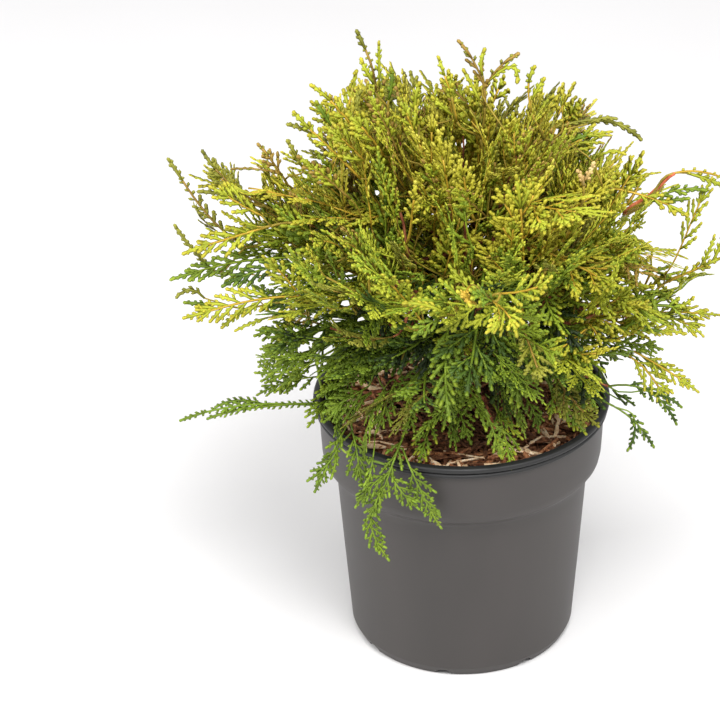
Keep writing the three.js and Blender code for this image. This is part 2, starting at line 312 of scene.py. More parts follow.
# ======== Spray templates: flat fans of scale-leaf shoots ================================================
PART_AGES = {"inner": 0.42, "outer": 0.8, "ends": math.inf}  # a shoot's part, by the age it stays below
PARTS = ("stem", *PART_AGES)
LOBE_AGE = 0.79  # of a side lobe at most: only a shoot's own end counts as one of the ends
HALF_WIDTH = 0.88  # of a shoot clothed in scale leaves
THICKNESS = 0.66  # of a shoot, in half-widths
LOBE_PITCH = 1.9  # along a feather, from one lobe to the next on the other side
LOBE_SIZE = (2.4, 0.17, 4.5)  # of a lobe: the least, what each millimetre beyond it adds, and the most
CHILD_PITCH = (1.35, 0.175)  # along a leader: at least this far, and this share of the side shoot's length
BLUNT_END = 2.6  # of a feather, beyond its last lobe
FEATHER_FROM = 4.0  # a side shoot of this length has lobes of its own
SPRAY_FROM = 17.0  # and one of this length has feathers
SIDE_SPREAD, SIDE_BARE = 0.42, (0.08, 0.18)  # of such a side shoot
SPRAY_FORK, LOBE_FORK = (0.66, 0.9), (0.44, 0.66)  # the angles at which side shoots and lobes leave
FEATHER_CURL, SPRAY_CURL = 0.24, 0.22  # how far side shoots turn towards their leader's tip
SLENDER, STOUT = 0.94, 1.3  # the two sets of templates: low down and in the upper crown
INNER_COARSER = 1.7

# kind: spread of the side shoots, bare foot, and how much wider apart they stand
KINDS = {
    "frond": ((0.46, 0.54), (0.2, 0.28), 1.2),
    "fan": ((0.44, 0.56), (0.08, 0.16), 1.0),
    "long": ((0.28, 0.36), (0.18, 0.28), 1.0),
    "tuft": ((0.5, 0.62), (0.08, 0.16), 1.0),
    "wisp": ((0.2, 0.28), (0.25, 0.4), 1.4),
    "inner": ((0.46, 0.54), (0.08, 0.16), 1.0),
    "spike": ((0.09, 0.13), (0.12, 0.2), 1.3),
}
# kind: how many templates there are in each set, and their least and greatest length
TEMPLATES = {
    "frond": (5, 80, 104),
    "fan": (7, 38, 56),
    "long": (4, 58, 80),
    "tuft": (4, 22, 32),
    "wisp": (4, 40, 58),
    "inner": (4, 36, 50),
}


def ribbon(path, half_widths, pointed=False):
    """A closed, flattened prism along a path: each ring has a left, a right and a top edge."""
    tangent = np.gradient(path, axis=0)
    side = unit(np.stack([-tangent[:, 1], tangent[:, 0], np.zeros(len(path))], 1))
    w = half_widths[:, None]
    verts = np.stack([path + side * w, path - side * w, path + UP * w * THICKNESS], 1).reshape(-1, 3)
    tris, last = [(0, 1, 2)], 3 * (len(path) - 1)
    for a in range(0, last - 3 if pointed else last, 3):
        for j, k in ((0, 1), (1, 2), (2, 0)):
            tris += [(a + j, a + 3 + j, a + 3 + k), (a + j, a + 3 + k, a + k)]
    if pointed:
        verts = np.concatenate([verts[:last], path[-1:]])
        a = last - 3
        tris += [(a + j, last, a + k) for j, k in ((0, 1), (1, 2), (2, 0))]
    else:
        tris.append((last, last + 2, last + 1))
    return verts, np.array(tris)


def spindle(start, turn, length, half_width, tilt):
    """A single lobe of scale leaves: a flattened spindle that is widest past its middle."""
    ahead = np.array([math.cos(turn), math.sin(turn), tilt])
    side = np.array([-ahead[1], ahead[0], 0.0])
    wide = start + ahead * 0.7 * length
    ring = [wide + side * half_width, wide - side * half_width, wide + UP * half_width * THICKNESS]
    verts = np.array([start, *ring, start + ahead * length])
    return verts, np.array([(0, 1, 2), (0, 2, 3), (0, 3, 1), (4, 2, 1), (4, 3, 2), (4, 1, 3)])


def walk(start, turn, s, tilt):
    """A path from start whose heading at each distance s is turn."""
    step = np.stack([np.cos(turn), np.sin(turn), np.full(len(s), tilt)], 1)[1:] * np.diff(s)[:, None]
    return start + np.concatenate([np.zeros((1, 3)), np.cumsum(step, 0)])


class Template:
    """The shoots of one spray, lying in the XY plane and growing along +X, by what part they are.

    A unit is what a gap takes away as a whole: a lobe or a feather. Stems are unit 0, which stays.
    """

    def __init__(self, chance, kind, length, stout):
        self.chance, self.length, self.stout = chance, length, stout
        self.coarse = INNER_COARSER if kind == "inner" else 1.0
        self.fork = chance.uniform(*LOBE_FORK) / stout**1.5
        self.lobe_length = chance.uniform(0.9, 1.15)
        self.parts = {part: [] for part in PARTS}
        self.units = 0
        if kind == "feather":
            self.units = 1
            self.feather(np.zeros(3), 0.0, length - BLUNT_END, 0, 0.3, 0.0)
        else:
            spread, bare, sparse = KINDS[kind]
            spread, bare = chance.uniform(*spread), chance.uniform(*bare)
            self.spray(np.zeros(3), 0.0, length, spread, bare, 0, 0.0, 0.0, sparse)
        self.flat = {part: self.joined(part) for part in PARTS}

    def side(self):
        return 1 if self.chance.random() < 0.5 else -1

    def put(self, age, shape):
        """Adds a shape to the part for its age, and to the unit that is growing."""
        part = next(part for part, top in PART_AGES.items() if age < top)
        self.parts[part].append((*shape, self.units))

    def lobe(self, start, turn, length, age, tilt):
        width = HALF_WIDTH * self.stout * self.coarse**0.6 * self.chance.uniform(0.86, 1.06)
        self.put(min(age, LOBE_AGE), spindle(start, turn, length, width, tilt))

    def feather(self, start, heading, length, side, age, tilt):
        """A shoot with lobes left and right in turn, then a blunt end, curved to its leader's tip."""
        s = np.linspace(0, length, max(3, int(length / 6) + 2))
        turn = heading - side * FEATHER_CURL * s / length
        path = walk(start, turn, s, tilt)
        width = HALF_WIDTH * self.stout * self.coarse**0.4
        self.put(age, ribbon(path, np.interp(s / length, [0, 0.3, 1], [0.66, 0.9, 1.0]) * width))
        pitch = LOBE_PITCH * self.coarse * self.stout**0.8
        least, growth, most = LOBE_SIZE
        way, at = self.side(), self.chance.uniform(0.08, 0.16) * length + 0.8
        while at < length - 0.5:
            here = heading - side * FEATHER_CURL * at / length
            size = min(least + growth * (length - at), most)
            size = size * self.lobe_length * self.chance.uniform(0.85, 1.15) * self.stout**0.8
            fork = self.fork * self.chance.uniform(0.85, 1.15)
            lean = tilt + self.chance.normal(0, 0.1)
            self.lobe(point_at(path, s, at), here + way * fork, size, age + 0.45 * at / length, lean)
            way = -way
            at += pitch * self.chance.uniform(0.88, 1.12)
        end = self.chance.uniform(2.2, 3.1) * self.stout**0.8
        tip = walk(path[-1], turn[[-1, -1, -1]], np.array([-0.8, 0.7 * end, end]), tilt)
        self.put(1.0, ribbon(tip, np.array([0.9, 1.06, 0]) * width, True))

    def spray(self, start, heading, length, spread, bare, side, age, tilt, sparse=1.0):
        """A leader with side shoots left and right in turn, longest near its foot."""
        end = min(6.0 + 0.14 * length, 0.4 * length)
        reach = length - end
        s = np.linspace(0, reach, max(4, int(length / 8) + 2))
        wander = self.chance.normal(0, 0.07) * np.sin(s / length * 4 + self.chance.uniform(0, 6))
        turn = heading - side * SPRAY_CURL * s / length + wander
        path = walk(start, turn, s, tilt)
        thick = np.interp(length, [20, 90], [0.55, 0.8])
        stem = ribbon(path, np.interp(s, [0, reach], [thick, 0.62]) * self.stout**0.5)
        self.parts["stem"].append((*stem, 0))
        least, share = CHILD_PITCH
        way, at = self.side(), bare * length
        while at < reach + 0.3 * end:
            t = at / length
            rise = smooth(bare - 0.1, bare + 0.16, t)
            child = spread * length * (0.5 + 0.5 * rise) * (1 - t) ** 0.66 * self.chance.uniform(0.8, 1.16)
            fork = self.chance.uniform(*SPRAY_FORK) * (1 - 0.25 * t)
            lean = tilt + self.chance.normal(0.0, 0.09)
            here = np.interp(at, s, turn)
            self.grow(point_at(path, s, at), here + way * fork, child, way, age + 0.1 + 0.34 * t, lean)
            way = -way
            pitch = (least * self.stout + share * child) * self.coarse * sparse
            at += pitch * self.chance.uniform(0.85, 1.15)
        self.grow(path[-1], turn[-1], end, self.side() * 0.3, age + 0.4, tilt)

    def grow(self, start, heading, length, side, age, tilt):
        """A side shoot of a length: a lobe, a feather of lobes, or a spray of feathers."""
        self.units += 1
        if length < FEATHER_FROM * self.stout:
            self.lobe(start, heading, max(length, 2.8), age + 0.3, tilt)
        elif length < SPRAY_FROM * self.stout:
            self.feather(start, heading, length - 2.0, side, age, tilt)
        else:
            bare = self.chance.uniform(*SIDE_BARE)
            self.spray(start, heading, length, SIDE_SPREAD, bare, side, age, tilt)

    def joined(self, part):
        """A part's vertices and triangles, and each vertex's unit."""
        shapes = self.parts[part]
        if not shapes:
            return np.zeros((0, 3)), np.zeros((0, 3), int), np.zeros(0, int)
        sizes = [len(verts) for verts, _, _ in shapes]
        starts = np.cumsum([0] + sizes)
        tris = np.concatenate([t + n for (_, t, _), n in zip(shapes, starts)])
        return np.concatenate([v for v, _, _ in shapes]), tris, np.repeat([u for _, _, u in shapes], sizes)


def make_templates():
    """Several sprays of each kind: name -> list of templates, the slender half first."""
    chance = np.random.default_rng(7)
    made = {}
    for kind, (count, *lengths) in TEMPLATES.items():
        stouts = [SLENDER] * count + [STOUT] * count
        made[kind] = [Template(chance, kind, chance.uniform(*lengths), stout) for stout in stouts]
    return made


# ======== Limbs read from the frame =====================================================================
TRUNK_STEPS, TRUNK_SIDES = 46, 34
TRUNK_RADII = [6.3, 5.0]  # above the root flare and at the fork
ROOT_FLARE, ROOT_FLARE_HEIGHT = 4.2, 6
END_CORNERS = 5  # of a bough's CAD node, whose middle is taken as its end
BOUGH_STEPS, BOUGH_SIDES = 30, 11
BOUGH_RADII = (0.9, 4.5)  # the least and the most
BOUGH_COLLAR = 1.15  # how much thicker a bough is inside what carries it


def node_mesh(name):
    """A CAD node's vertices in millimetres, and its triangles."""
    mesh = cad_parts[name].data
    verts = np.zeros(len(mesh.vertices) * 3, np.float32)
    mesh.vertices.foreach_get("co", verts)
    mesh.calc_loop_triangles()
    tris = np.zeros(len(mesh.loop_triangles) * 3, np.int32)
    mesh.loop_triangles.foreach_get("vertices", tris)
    return verts.reshape(-1, 3).astype(float) / MM, tris.reshape(-1, 3)


def node_corners(name):
    return np.unique(np.round(node_mesh(name)[0], 2), axis=0)


def fit_limb(name, fork):
    """A bough's centre line from the fork outwards and its radii, fitted to its CAD node."""
    verts = node_corners(name)
    outwards = verts[np.argsort(gaps_to(fork, verts))]
    foot = outwards[:END_CORNERS].mean(0)
    chord = outwards[-END_CORNERS:].mean(0) - foot
    t = (verts - foot) @ chord / (chord @ chord)
    t = (t - t.min()) / (t.max() - t.min())
    powers = t[:, None] ** np.arange(4)
    curve = np.linalg.lstsq(powers, verts, rcond=None)[0]
    off = gaps_to(powers @ curve, verts)
    radius, taper = np.linalg.lstsq(powers[:, :2], off, rcond=None)[0]
    s = np.linspace(0, 1, BOUGH_STEPS)
    return (s[:, None] ** np.arange(4)) @ curve, np.clip(s * taper + radius, *BOUGH_RADII)


def tube(path, radii, sides, relief=None, first_side=(0.31, 0.87, 0.11)):
    """A closed tube along a path; relief(angle, distance) gives the bark's height over the radius."""
    tangent = unit(np.gradient(path, axis=0))
    side = np.empty_like(path)
    way = np.array(first_side)
    for i, t in enumerate(tangent):
        way = square_to(t, way)
        side[i] = way
    over = np.cross(tangent, side)
    angle = np.arange(sides) * FULL_TURN / sides
    r = radii[:, None] * np.ones(sides)
    if relief is not None:
        r = r + relief(angle[None, :], distances_along(path)[:, None])
    ring = side[:, None] * np.cos(angle)[None, :, None] + over[:, None] * np.sin(angle)[None, :, None]
    verts = (path[:, None] + ring * r[..., None]).reshape(-1, 3)
    verts = np.concatenate([verts, path[:1] - tangent[:1] * 0.2, path[-1:] + tangent[-1:] * 0.4])
    return verts, ring_triangles(len(path), sides)


def bark_relief(seed, height):
    """Stringy bark: long strips that lean and split, with small flaking steps."""
    phase = np.random.default_rng(seed).uniform(0, 6.28, 6)

    def relief(angle, s):
        lean = 0.6 * np.sin(s / 11 + phase[0]) + 0.35 * np.sin(s / 4.7 + phase[1])
        strips = np.cos(5 * angle + 3 * lean + phase[2]) + 0.7 * np.cos(9 * angle - 4 * lean + phase[3])
        flakes = np.sign(np.sin(3 * angle + s / 2.3 + phase[4])) * np.sin(s / 1.9 + phase[5])
        return height * (0.45 * strips + 0.22 * flakes)

    return relief


def add_trunk(heap):
    """Adds the trunk with its lobed root flare, and gives its path and the top of it."""
    corners = node_corners("trunk")
    low, high = corners[:, 2].min(), corners[:, 2].max()
    levels = np.linspace(low - 2, high + 1.5, TRUNK_STEPS)
    foot = corners[corners[:, 2] < low + 0.5].mean(0)
    fork = corners[corners[:, 2] > high - 2].mean(0)
    t = (levels - low) / (high - low)
    path = foot + (fork - foot) * (t**1.6)[:, None]
    path[:, 2] = levels
    flare = ROOT_FLARE * np.exp(-np.maximum(levels - low, -1) / ROOT_FLARE_HEIGHT)
    roots = bark_relief(3, 0.75)

    def flared(angle, s):
        lobes = 0.3 * np.cos(5 * angle + 0.6) + 0.15 * np.cos(2 * angle)
        return roots(angle, s) + ROOT_FLARE * lobes * np.exp(-s / 7)

    radii = np.interp(t, [0, 1], TRUNK_RADII) + flare
    heap.add(*tube(path, radii, TRUNK_SIDES, flared, (1.0, 0, 0)), "trunk")
    return path, fork


def limb_pieces():
    """Trunk and boughs with bark relief, as one heap, and the limbs by the mass they feed."""
    heap = Heap()
    path, fork = add_trunk(heap)
    lines = [path[:-3]]
    limbs = {}
    names = [n for n in sorted(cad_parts) if n.startswith("bough_")]
    names.sort(key=lambda n: (not n.startswith(("bough_middle", "bough_top")), "arching" in n))
    for k, name in enumerate(names):
        line, radii = fit_limb(name, fork)
        carrier = min(lines, key=lambda other: gaps_to(line[0], other).min())
        root = carrier[gaps_to(line[0], carrier).argmin()]
        line = np.concatenate([[root], line])
        radii = np.concatenate([radii[:1] * BOUGH_COLLAR, radii])
        heap.add(*tube(line, radii, BOUGH_SIDES, bark_relief(20 + k, 0.16 * radii.mean())), name)
        lines.append(line)
        limbs[name.replace("bough_", "")] = (line, radii)
    return heap, limbs


# ======== Masses: where sprays start and which way they grow =============================================
POOL_AREA = 22  # of the masses' surface, for each point that a spray may end at
LEAST_FACING = 0.02  # such a point's surface faces the way the spray grows
COVER_DISTANCE = 42.0  # a point with foliage ahead nearer than this is covered, and has no spray
OUTER_PASSES = (("frond", 39.0, 0.0), ("fan", 18.0, 0.0), ("fan", 14.0, 296.0))  # kind, gap, lowest
FROND_LEVEL = 225.0  # fronds stand above this, and fans take their places below it
SET_BACK = {"frond": 3.0, "fan": 6.0}  # how far sprays start behind the surface, as a gamma's scale
MOST_BACK = 30
SKY_LEVEL = 350.0  # only a few shoots stand up above this
INNER_GAP = 24.0
INNER_DEPTH = (26, 66)  # how far inside the surface the inner sprays end
INNER_CLEAR = 42  # how far from the fork they stay
INNER_LEVELS = (172, 344)  # and between which heights
THINNED_LOW = 0.3  # the share of places that is left empty low down,
THINNED_LOW_FRONT = 0.42  # in front,
THINNED_RIGHT = 0.8  # and low down at the right
BARE_MASSES = ("low_left_spray", "hanging_spray", "arching_shoot")  # made of named sprays only
LIFT_HEIGHTS = [110, 180, 215, 250, 290, 330, 396]
LIFTS = [-0.9, -0.62, -0.46, -0.28, 0.0, 0.4, 0.85]  # how much sprays rise or sink at those heights
FAN_KINDS = {"fan": 0.56, "long": 0.2, "tuft": 0.18, "wisp": 0.06}  # what stands in a fan's place


class Mass:
    """A CAD mass of foliage, which sprays replace."""

    def __init__(self, node):
        self.node = node
        self.name = node.replace("foliage_", "")
        self.verts, self.tris = node_mesh(node)
        a, b, c = (self.verts[self.tris[:, i]] for i in range(3))
        cross = np.cross(b - a, c - a)
        self.areas = np.linalg.norm(cross, axis=1) / 2
        self.normals = unit(cross)

    def surface_points(self, count):
        """Points dealt out evenly over the surface, and the normals there."""
        pick = rng.choice(len(self.tris), count, p=self.areas / self.areas.sum())
        u, v = rng.random(count), rng.random(count)
        flip = u + v > 1
        u[flip], v[flip] = 1 - u[flip], 1 - v[flip]
        a, b, c = (self.verts[self.tris[pick, i]] for i in range(3))
        return a + (b - a) * u[:, None] + (c - a) * v[:, None], self.normals[pick]


def growth_way(p):
    """Sprays spread from the fork: upwards in the upper crown, over the rim in the lower."""
    radial = unit((p - FORK) * np.array([1, 1, 0.8]))
    return unit(radial + np.interp(p[:, 2], LIFT_HEIGHTS, LIFTS)[:, None] * UP)


def spaced(points, gap, taken=()):
    """Indices of points that keep their distance from each other, in the order given."""
    kept, where = [], list(taken)
    for i, p in enumerate(points):
        if not where or np.min(np.sum((np.array(where) - p) ** 2, 1)) > gap * gap:
            kept.append(i)
            where.append(p)
    return kept


def exposed_points(masses):
    """Shuffled points of the masses' surface with no other foliage ahead: mass, point and way."""
    starts = np.cumsum([0] + [len(m.verts) for m in masses])
    every_vert = [Vector(v) for m in masses for v in m.verts]
    every_tri = np.concatenate([m.tris + s for m, s in zip(masses, starts)])
    tree = BVHTree.FromPolygons(every_vert, every_tri.tolist())
    pool = []
    for index, mass in enumerate(masses):
        if mass.name in BARE_MASSES:
            continue
        points, normals = mass.surface_points(int(mass.areas.sum() / POOL_AREA))
        ways = growth_way(points)
        for p, w, f in zip(points, ways, (normals * ways).sum(1)):
            ahead = tree.ray_cast(Vector(p + w * 1.5), Vector(w), COVER_DISTANCE)[0]
            if f > LEAST_FACING and ahead is None:
                pool.append((index, p, w))
    return [pool[i] for i in rng.permutation(len(pool))]


def left_out(p):
    """Whether chance leaves a place empty: low down, most of all in front and at the right."""
    x, y, z = p
    if rng.random() < smooth(196, 176, z) * (THINNED_LOW_FRONT if y < -20 else THINNED_LOW):
        return True
    return rng.random() < THINNED_RIGHT * smooth(84, 96, x) * smooth(212, 200, z) * smooth(30, 10, y)


def plan_sprays(masses):
    """Where each spray's tip is, its way and kind, and the mass that it belongs to."""
    pool = exposed_points(masses)
    points = np.array([p for _, p, _ in pool])
    sprays = []
    taken = []
    for kind, gap, lowest in OUTER_PASSES:
        high = np.flatnonzero(points[:, 2] > lowest)
        for i in high[spaced(points[high], gap, taken)]:
            index, p, w = pool[i]
            taken.append(p)
            if left_out(p):
                continue
            back = rng.gamma(1.5, SET_BACK[kind])
            tip = p - w * min(back, MOST_BACK)
            tip[2] = min(tip[2], SKY_LEVEL + (tip[2] - SKY_LEVEL) * 0.25)
            sprays.append({"mass": index, "tip": tip, "way": w, "kind": kind, "outer": True, "back": back})
    for s in sprays:
        if s["kind"] == "fan":
            s["kind"] = str(rng.choice(list(FAN_KINDS), p=list(FAN_KINDS.values())))
        elif s["tip"][2] < FROND_LEVEL:
            s["kind"] = "fan"
    deep = [(index, p - w * rng.uniform(*INNER_DEPTH), w) for index, p, w in pool]
    for i in spaced(np.array([p for _, p, _ in deep]), INNER_GAP):
        index, p, w = deep[i]
        lowest, highest = INNER_LEVELS
        if gaps_to(FORK, p) > INNER_CLEAR and lowest < p[2] < highest:
            sprays.append({"mass": index, "tip": p, "way": w, "kind": "inner", "outer": False, "back": 0.0})
    return sprays


# ======== Colours dealt out by spray =====================================================================
LEVELS = ("deep", "dark", "green", "leaf", "lime", "yellow", "pale")
TONES = {  # the colours of a spray's PARTS: its stem, inner part, outer part and ends
    "olive": ("bronze", "olive", "olive", "olive"),
    "bronze": ("bronze", "bronze", "olive", "bronze"),
    "orange": ("gold", "gold", "gold", "yellow"),
    "dead": ("dead", "dead", "dead", "dead"),
    "fern": ("fern", "green", "green", "fern"),
    "fresh": ("leaf", "fern", "leaf", "lime"),
    "green": ("leaf", "green", "green", "leaf"),
    # The next tone is the green one darkened by painted shade
    "dim": ("green", "dark", "dark", "green"),
    "lime": ("gold", "lime", "lime", "yellow"),
    "gold": ("gold", "lime", "yellow", "yellow"),
    "tipped": ("bronze", "lime", "lime", "bronze"),
}
PART_LEVEL = {"inner": -0.6, "outer": 0.0, "ends": 0.35}
FRONT_PAINTED_LIGHT = 0.3  # what the foremost sprays gain, as painted light
BACK_PAINTED_SHADE = -0.045  # and what each millimetre behind them takes, as painted shade
STEM_COLOURS = ((2.6, "green"), (3.7, "leaf"), (4.3, "lime"), (9.0, "gold"))  # each up to a level

# Places whose level changes: by how much, and the place's range in x, y and z. Some are a tint of their own,
# some painted shade or painted light.
TINT_SHADE_AND_LIGHT_PLACES = (
    (-0.6, ((-112, -35), (-150, 60), (235, 300))),  # greener at the middle left
    (-0.75, ((-22, 55), (-150, -45), (230, 288))),  # painted shade in the middle of the front
    (0.4, ((64, 110), (-150, -20), (212, 285))),  # brighter at the right
    (0.5, ((-125, -88), (-150, 60), (180, 228))),  # painted light at the lower left
    (0.5, ((-45, 40), (-150, -20), (150, 200))),  # painted light low down in front
)
TINT_EDGE = 20.0  # each place's change of level fades out over this
COLOUR_PATCHES = 70


def within(values, low, high):
    """One inside the range, and fading out beside it."""
    return smooth(low - TINT_EDGE, low, values) * smooth(high + TINT_EDGE, high, values)


def colour_levels(tips, outer):
    """A level for each spray: golden up on the outside, greener low down and inside, in patches, with
    painted shade on inner sprays and low in front, and painted light at the top and in a few places.
    """
    chance = np.random.default_rng(6)
    x, y, z = tips.T
    centres = chance.uniform([-170, -140, 110], [170, 160, 396], (COLOUR_PATCHES, 3))
    value = chance.normal(0, 1, COLOUR_PATCHES)
    near = np.argmin(((tips[:, None] - centres[None]) ** 2).sum(2), 1)
    away = tips - FORK
    lift = smooth(-0.05, 0.6, away[:, 2] / np.linalg.norm(away, axis=1))
    level = 2.05 + 2.45 * lift + 0.38 * value[near] + chance.normal(0, 0.4, len(tips))
    level += 0.15 * smooth(30, 130, x) + 0.6 * smooth(290, 330, z)  # right, and painted light at the top
    level -= 0.9 * smooth(290, 215, z) * smooth(-30, -120, x)  # low at the left
    level -= 1.2 * smooth(270, 222, z) * smooth(60, 5, x) * smooth(20, -60, y)  # painted shade low in front
    # The least level, raised at the lower left as painted light
    level = np.maximum(level, 1.9 + 0.35 * smooth(-60, -110, x) * smooth(235, 205, z))
    for change, ranges in TINT_SHADE_AND_LIGHT_PLACES:
        level += change * math.prod(within(tips[:, i], *ranges[i]) for i in range(3))
    # Inner sprays are darker by up to 2.4 levels as painted shade, less so near the outline
    near_outline = np.maximum(smooth(70, 95, np.abs(x)), smooth(295, 325, z))
    return level - np.where(outer, 0, 2.4 - 1.3 * near_outline)


def pick_tone(tip, draw):
    """A tone of its own for a few sprays: olive and bronze mostly at the upper left, and a few gold."""
    x, _, z = tip
    upper_left = float(smooth(-20, -100, x) * smooth(240, 290, z))
    shares = {
        "olive": 0.03 + 0.1 * upper_left,
        "bronze": 0.01 + 0.06 * upper_left,
        "gold": 0.09 * smooth(225, 275, z),
        "orange": 0.02 * smooth(300, 330, z),
        "tipped": 0.14 * smooth(300, 335, z),
    }
    for tone, share in shares.items():
        if draw < share:
            return tone
        draw -= share
    return None


def part_colour(spray, part):
    """The colour of a part: its tone's, or the one of the spray's level."""
    if spray["tone"]:
        return TONES[spray["tone"]][PARTS.index(part)]
    if part == "stem":
        return next(name for top, name in STEM_COLOURS if spray["level"] < top)
    level = round(spray["level"] + PART_LEVEL[part])
    return LEVELS[int(np.clip(level, 0, len(LEVELS) - 1))]


# ======== Sky gaps: the foliage is parted wherever the sky shows through ==================================
# Each gap is seen from CAMERA_AT at x, z on the upright plane through the pot's axis, with its radius
SKY_GAPS = (
    (141, 262, 12), (118, 272, 10), (142, 224, 10), (98, 169, 9), (127, 285, 6), (136, 298, 5),
    (149, 242, 3), (108, 175, 3), (119, 218, 3), (100, 290, 2), (109, 296, 2), (87, 241, 2),
    (115, 248, 2), (106, 266, 2), (126, 232, 2), (109, 236, 2), (96, 269, 1.6), (56, 335, 2),
    (-144, 262, 9), (-138, 287, 8), (-148, 237, 7), (-129, 233, 7), (-119, 245, 6),
    (-123, 305, 5), (-144, 296, 3), (-152, 270, 3), (-113, 202, 3), (-80, 192, 3), (-134, 277, 2),
    (-140, 226, 2), (-124, 281, 2), (-125, 268, 2), (-130, 223, 2), (-112, 212, 2), (-96, 214, 2),
    (-118, 312, 2), (-132, 250, 2), (-114, 250, 2), (-93, 194, 2), (-119, 224, 2), (-104, 246, 2),
    (-86, 203, 2), (-92, 178, 2), (-99, 305, 2), (-7, 279, 2.4), (7, 276, 2), (14, 267, 1.6),
    (-29, 261, 2.4), (-66, 243, 2.4), (-60, 212, 2), (-72, 211, 2), (-68, 224, 2), (24, 284, 1.6),
    (-16, 285, 1.6), (1, 327, 2), (6, 344, 2), (-22, 347, 1.6), (-49, 297, 1.6), (7, 246, 1.6),
)
# Where the photo looks into the crown's shade, as above: sprays of the near side leave it free
SHADE_GAPS = (
    (19, 292, 9), (4, 237, 9), (14, 246, 8), (31, 210, 8), (17, 205, 8), (-42, 167, 8), (9, 169, 7),
    (-31, 184, 8), (-4, 313, 6), (-9, 327, 6), (-25, 258, 9), (-13, 266, 8), (16, 262, 8), (-4, 203, 7),
    (42, 231, 7), (76, 282, 7), (60, 224, 7), (5, 207, 7), (39, 215, 7),
)
GAP_EASE = 11.0  # how far round a gap the foliage makes room for it
GAP_CORE = 0.5  # feathers that reach into this share of a gap's radius are left out
CORE_SHARE = 0.1  # and so is a whole spray with more than this share of it in there
NEAR_SIDE = -12.0  # a spray whose middle is in front of this is one of the near side
SHADE_SHARE = 0.22  # of a near spray, at most, that may lie over a shade gap
SHADE_SAMPLE = 9  # one vertex in so many is enough to tell
EYE = np.array(CAMERA_AT)


def sight_through(x, z):
    """The way from the camera to a gap's middle."""
    return unit(np.array([x, 0.0, z]) - EYE)


def parted(clumps, back=False):
    """Clumps of points moved out of the sky gaps, and which points lay in a gap's core.

    With back, it gives the points that would be moved to these instead.
    """
    clumps = np.array(clumps, float)
    cored = np.zeros(clumps.shape[:2], bool)
    centres = clumps.mean(1)
    reach = gaps_to(centres[:, None], clumps).max(1)
    for x, z, radius in SKY_GAPS[::-1] if back else SKY_GAPS:
        sight = sight_through(x, z)
        core, outer = radius * GAP_CORE, radius + GAP_EASE
        places = ([0, core, outer], [0, radius, outer])
        off = np.linalg.norm(np.cross(centres - EYE, sight), axis=1)
        for n in np.flatnonzero(off < reach + outer + radius):
            away = clumps[n] - EYE
            away -= (away @ sight)[:, None] * sight
            r = np.linalg.norm(away, axis=1)
            cored[n] |= r < core
            moved = np.interp(r, *(places[::-1] if back else places), right=0)
            moved = np.where(r < outer, moved, r)
            clumps[n] += away * ((moved - r) / np.maximum(r, 1e-6))[:, None]
    return clumps, cored


def unparted_point(point):
    return parted(np.reshape(point, (1, 1, 3)), back=True)[0][0, 0]


def in_shade_gap(verts):
    """Whether a spray of the near side lies over a place that is left free."""
    if verts[:, 1].mean() > NEAR_SIDE:
        return False
    for x, z, radius in SHADE_GAPS:
        off = np.linalg.norm(np.cross(verts - EYE, sight_through(x, z)), axis=1)
        if (off < radius).mean() > SHADE_SHARE:
            return True
    return False


# ======== Placing ========================================================================================
RIM_INSIDE, RIM_OUTSIDE, RIM_TOP = 82, 91, 163.5  # the room that foliage leaves to the pot's rim
MULCH_TOP = 151.5  # and to the mulch inside it
WAY_SCATTER, ROLL_SCATTER = 0.2, 0.4  # of the way a spray grows, and of the way it faces
SIZES = (0.9, 1.12)
CURL, CURL_SCATTER, DROOP = 0.12, 0.3, 0.4  # over a spray's length; low sprays droop by as much more
SWAY_SCATTER, TWIST_SCATTER = 0.05, 0.3  # likewise
MOST_CUP = 0.008  # how much a spray's sides hang, for each millimetre


def without(verts, tris, stay):
    """A mesh's vertices and triangles where stay holds."""
    fresh = np.cumsum(stay) - 1
    return verts[stay], fresh[tris[stay[tris[:, 0]]]]


def bend(verts, base, e1, e2, e3, size, curl, sway, twist, cup):
    """A template's vertices, bent and placed once for each row of the arrays: (copies, verts, 3)."""
    x, y, z = (verts[None, :, i] * size[:, None] for i in range(3))
    angle = x * curl[:, None]
    k = curl[:, None] + 1e-7
    along, rise = np.sin(angle) / k, (1 - np.cos(angle)) / k
    y = y + sway[:, None] * x * x
    z = z - cup[:, None] * y * y
    c, s = np.cos(twist[:, None] * x), np.sin(twist[:, None] * x)
    y, z = y * c - z * s, y * s + z * c
    normal = -np.sin(angle)[..., None] * e1[:, None] + np.cos(angle)[..., None] * e3[:, None]
    placed = base[:, None] + along[..., None] * e1[:, None] + rise[..., None] * e3[:, None]
    return placed + y[..., None] * e2[:, None] + z[..., None] * normal


def frames_for(ways, tips):
    """Each spray's own axes: across it, and over its upper face."""
    steep = np.abs(ways[:, 2:3]) ** 1.5
    outward = unit((tips - FORK) * [1, 1, 0])
    over = square_to(ways, UP * (1 - steep) + outward * steep * np.sign(ways[:, 2:3] + 0.3))
    roll = rng.normal(0, ROLL_SCATTER, len(ways))[:, None]
    across = np.cross(over, ways)
    over = over * np.cos(roll) + across * np.sin(roll)
    return unit(np.cross(over, ways)), over


def meets_pot(verts):
    """Whether vertices lie in the pot's rim, its wall or the mulch."""
    r, z = np.hypot(verts[..., 0], verts[..., 1]), verts[..., 2]
    in_rim = (z < RIM_TOP) & (r > RIM_INSIDE) & (r < RIM_OUTSIDE)
    return in_rim | ((z < MULCH_TOP) & (r <= RIM_INSIDE))


def stoutness(height):
    """Shoots are slender low down and stout in the upper crown."""
    return np.interp(height, [190, 290], [SLENDER, STOUT])


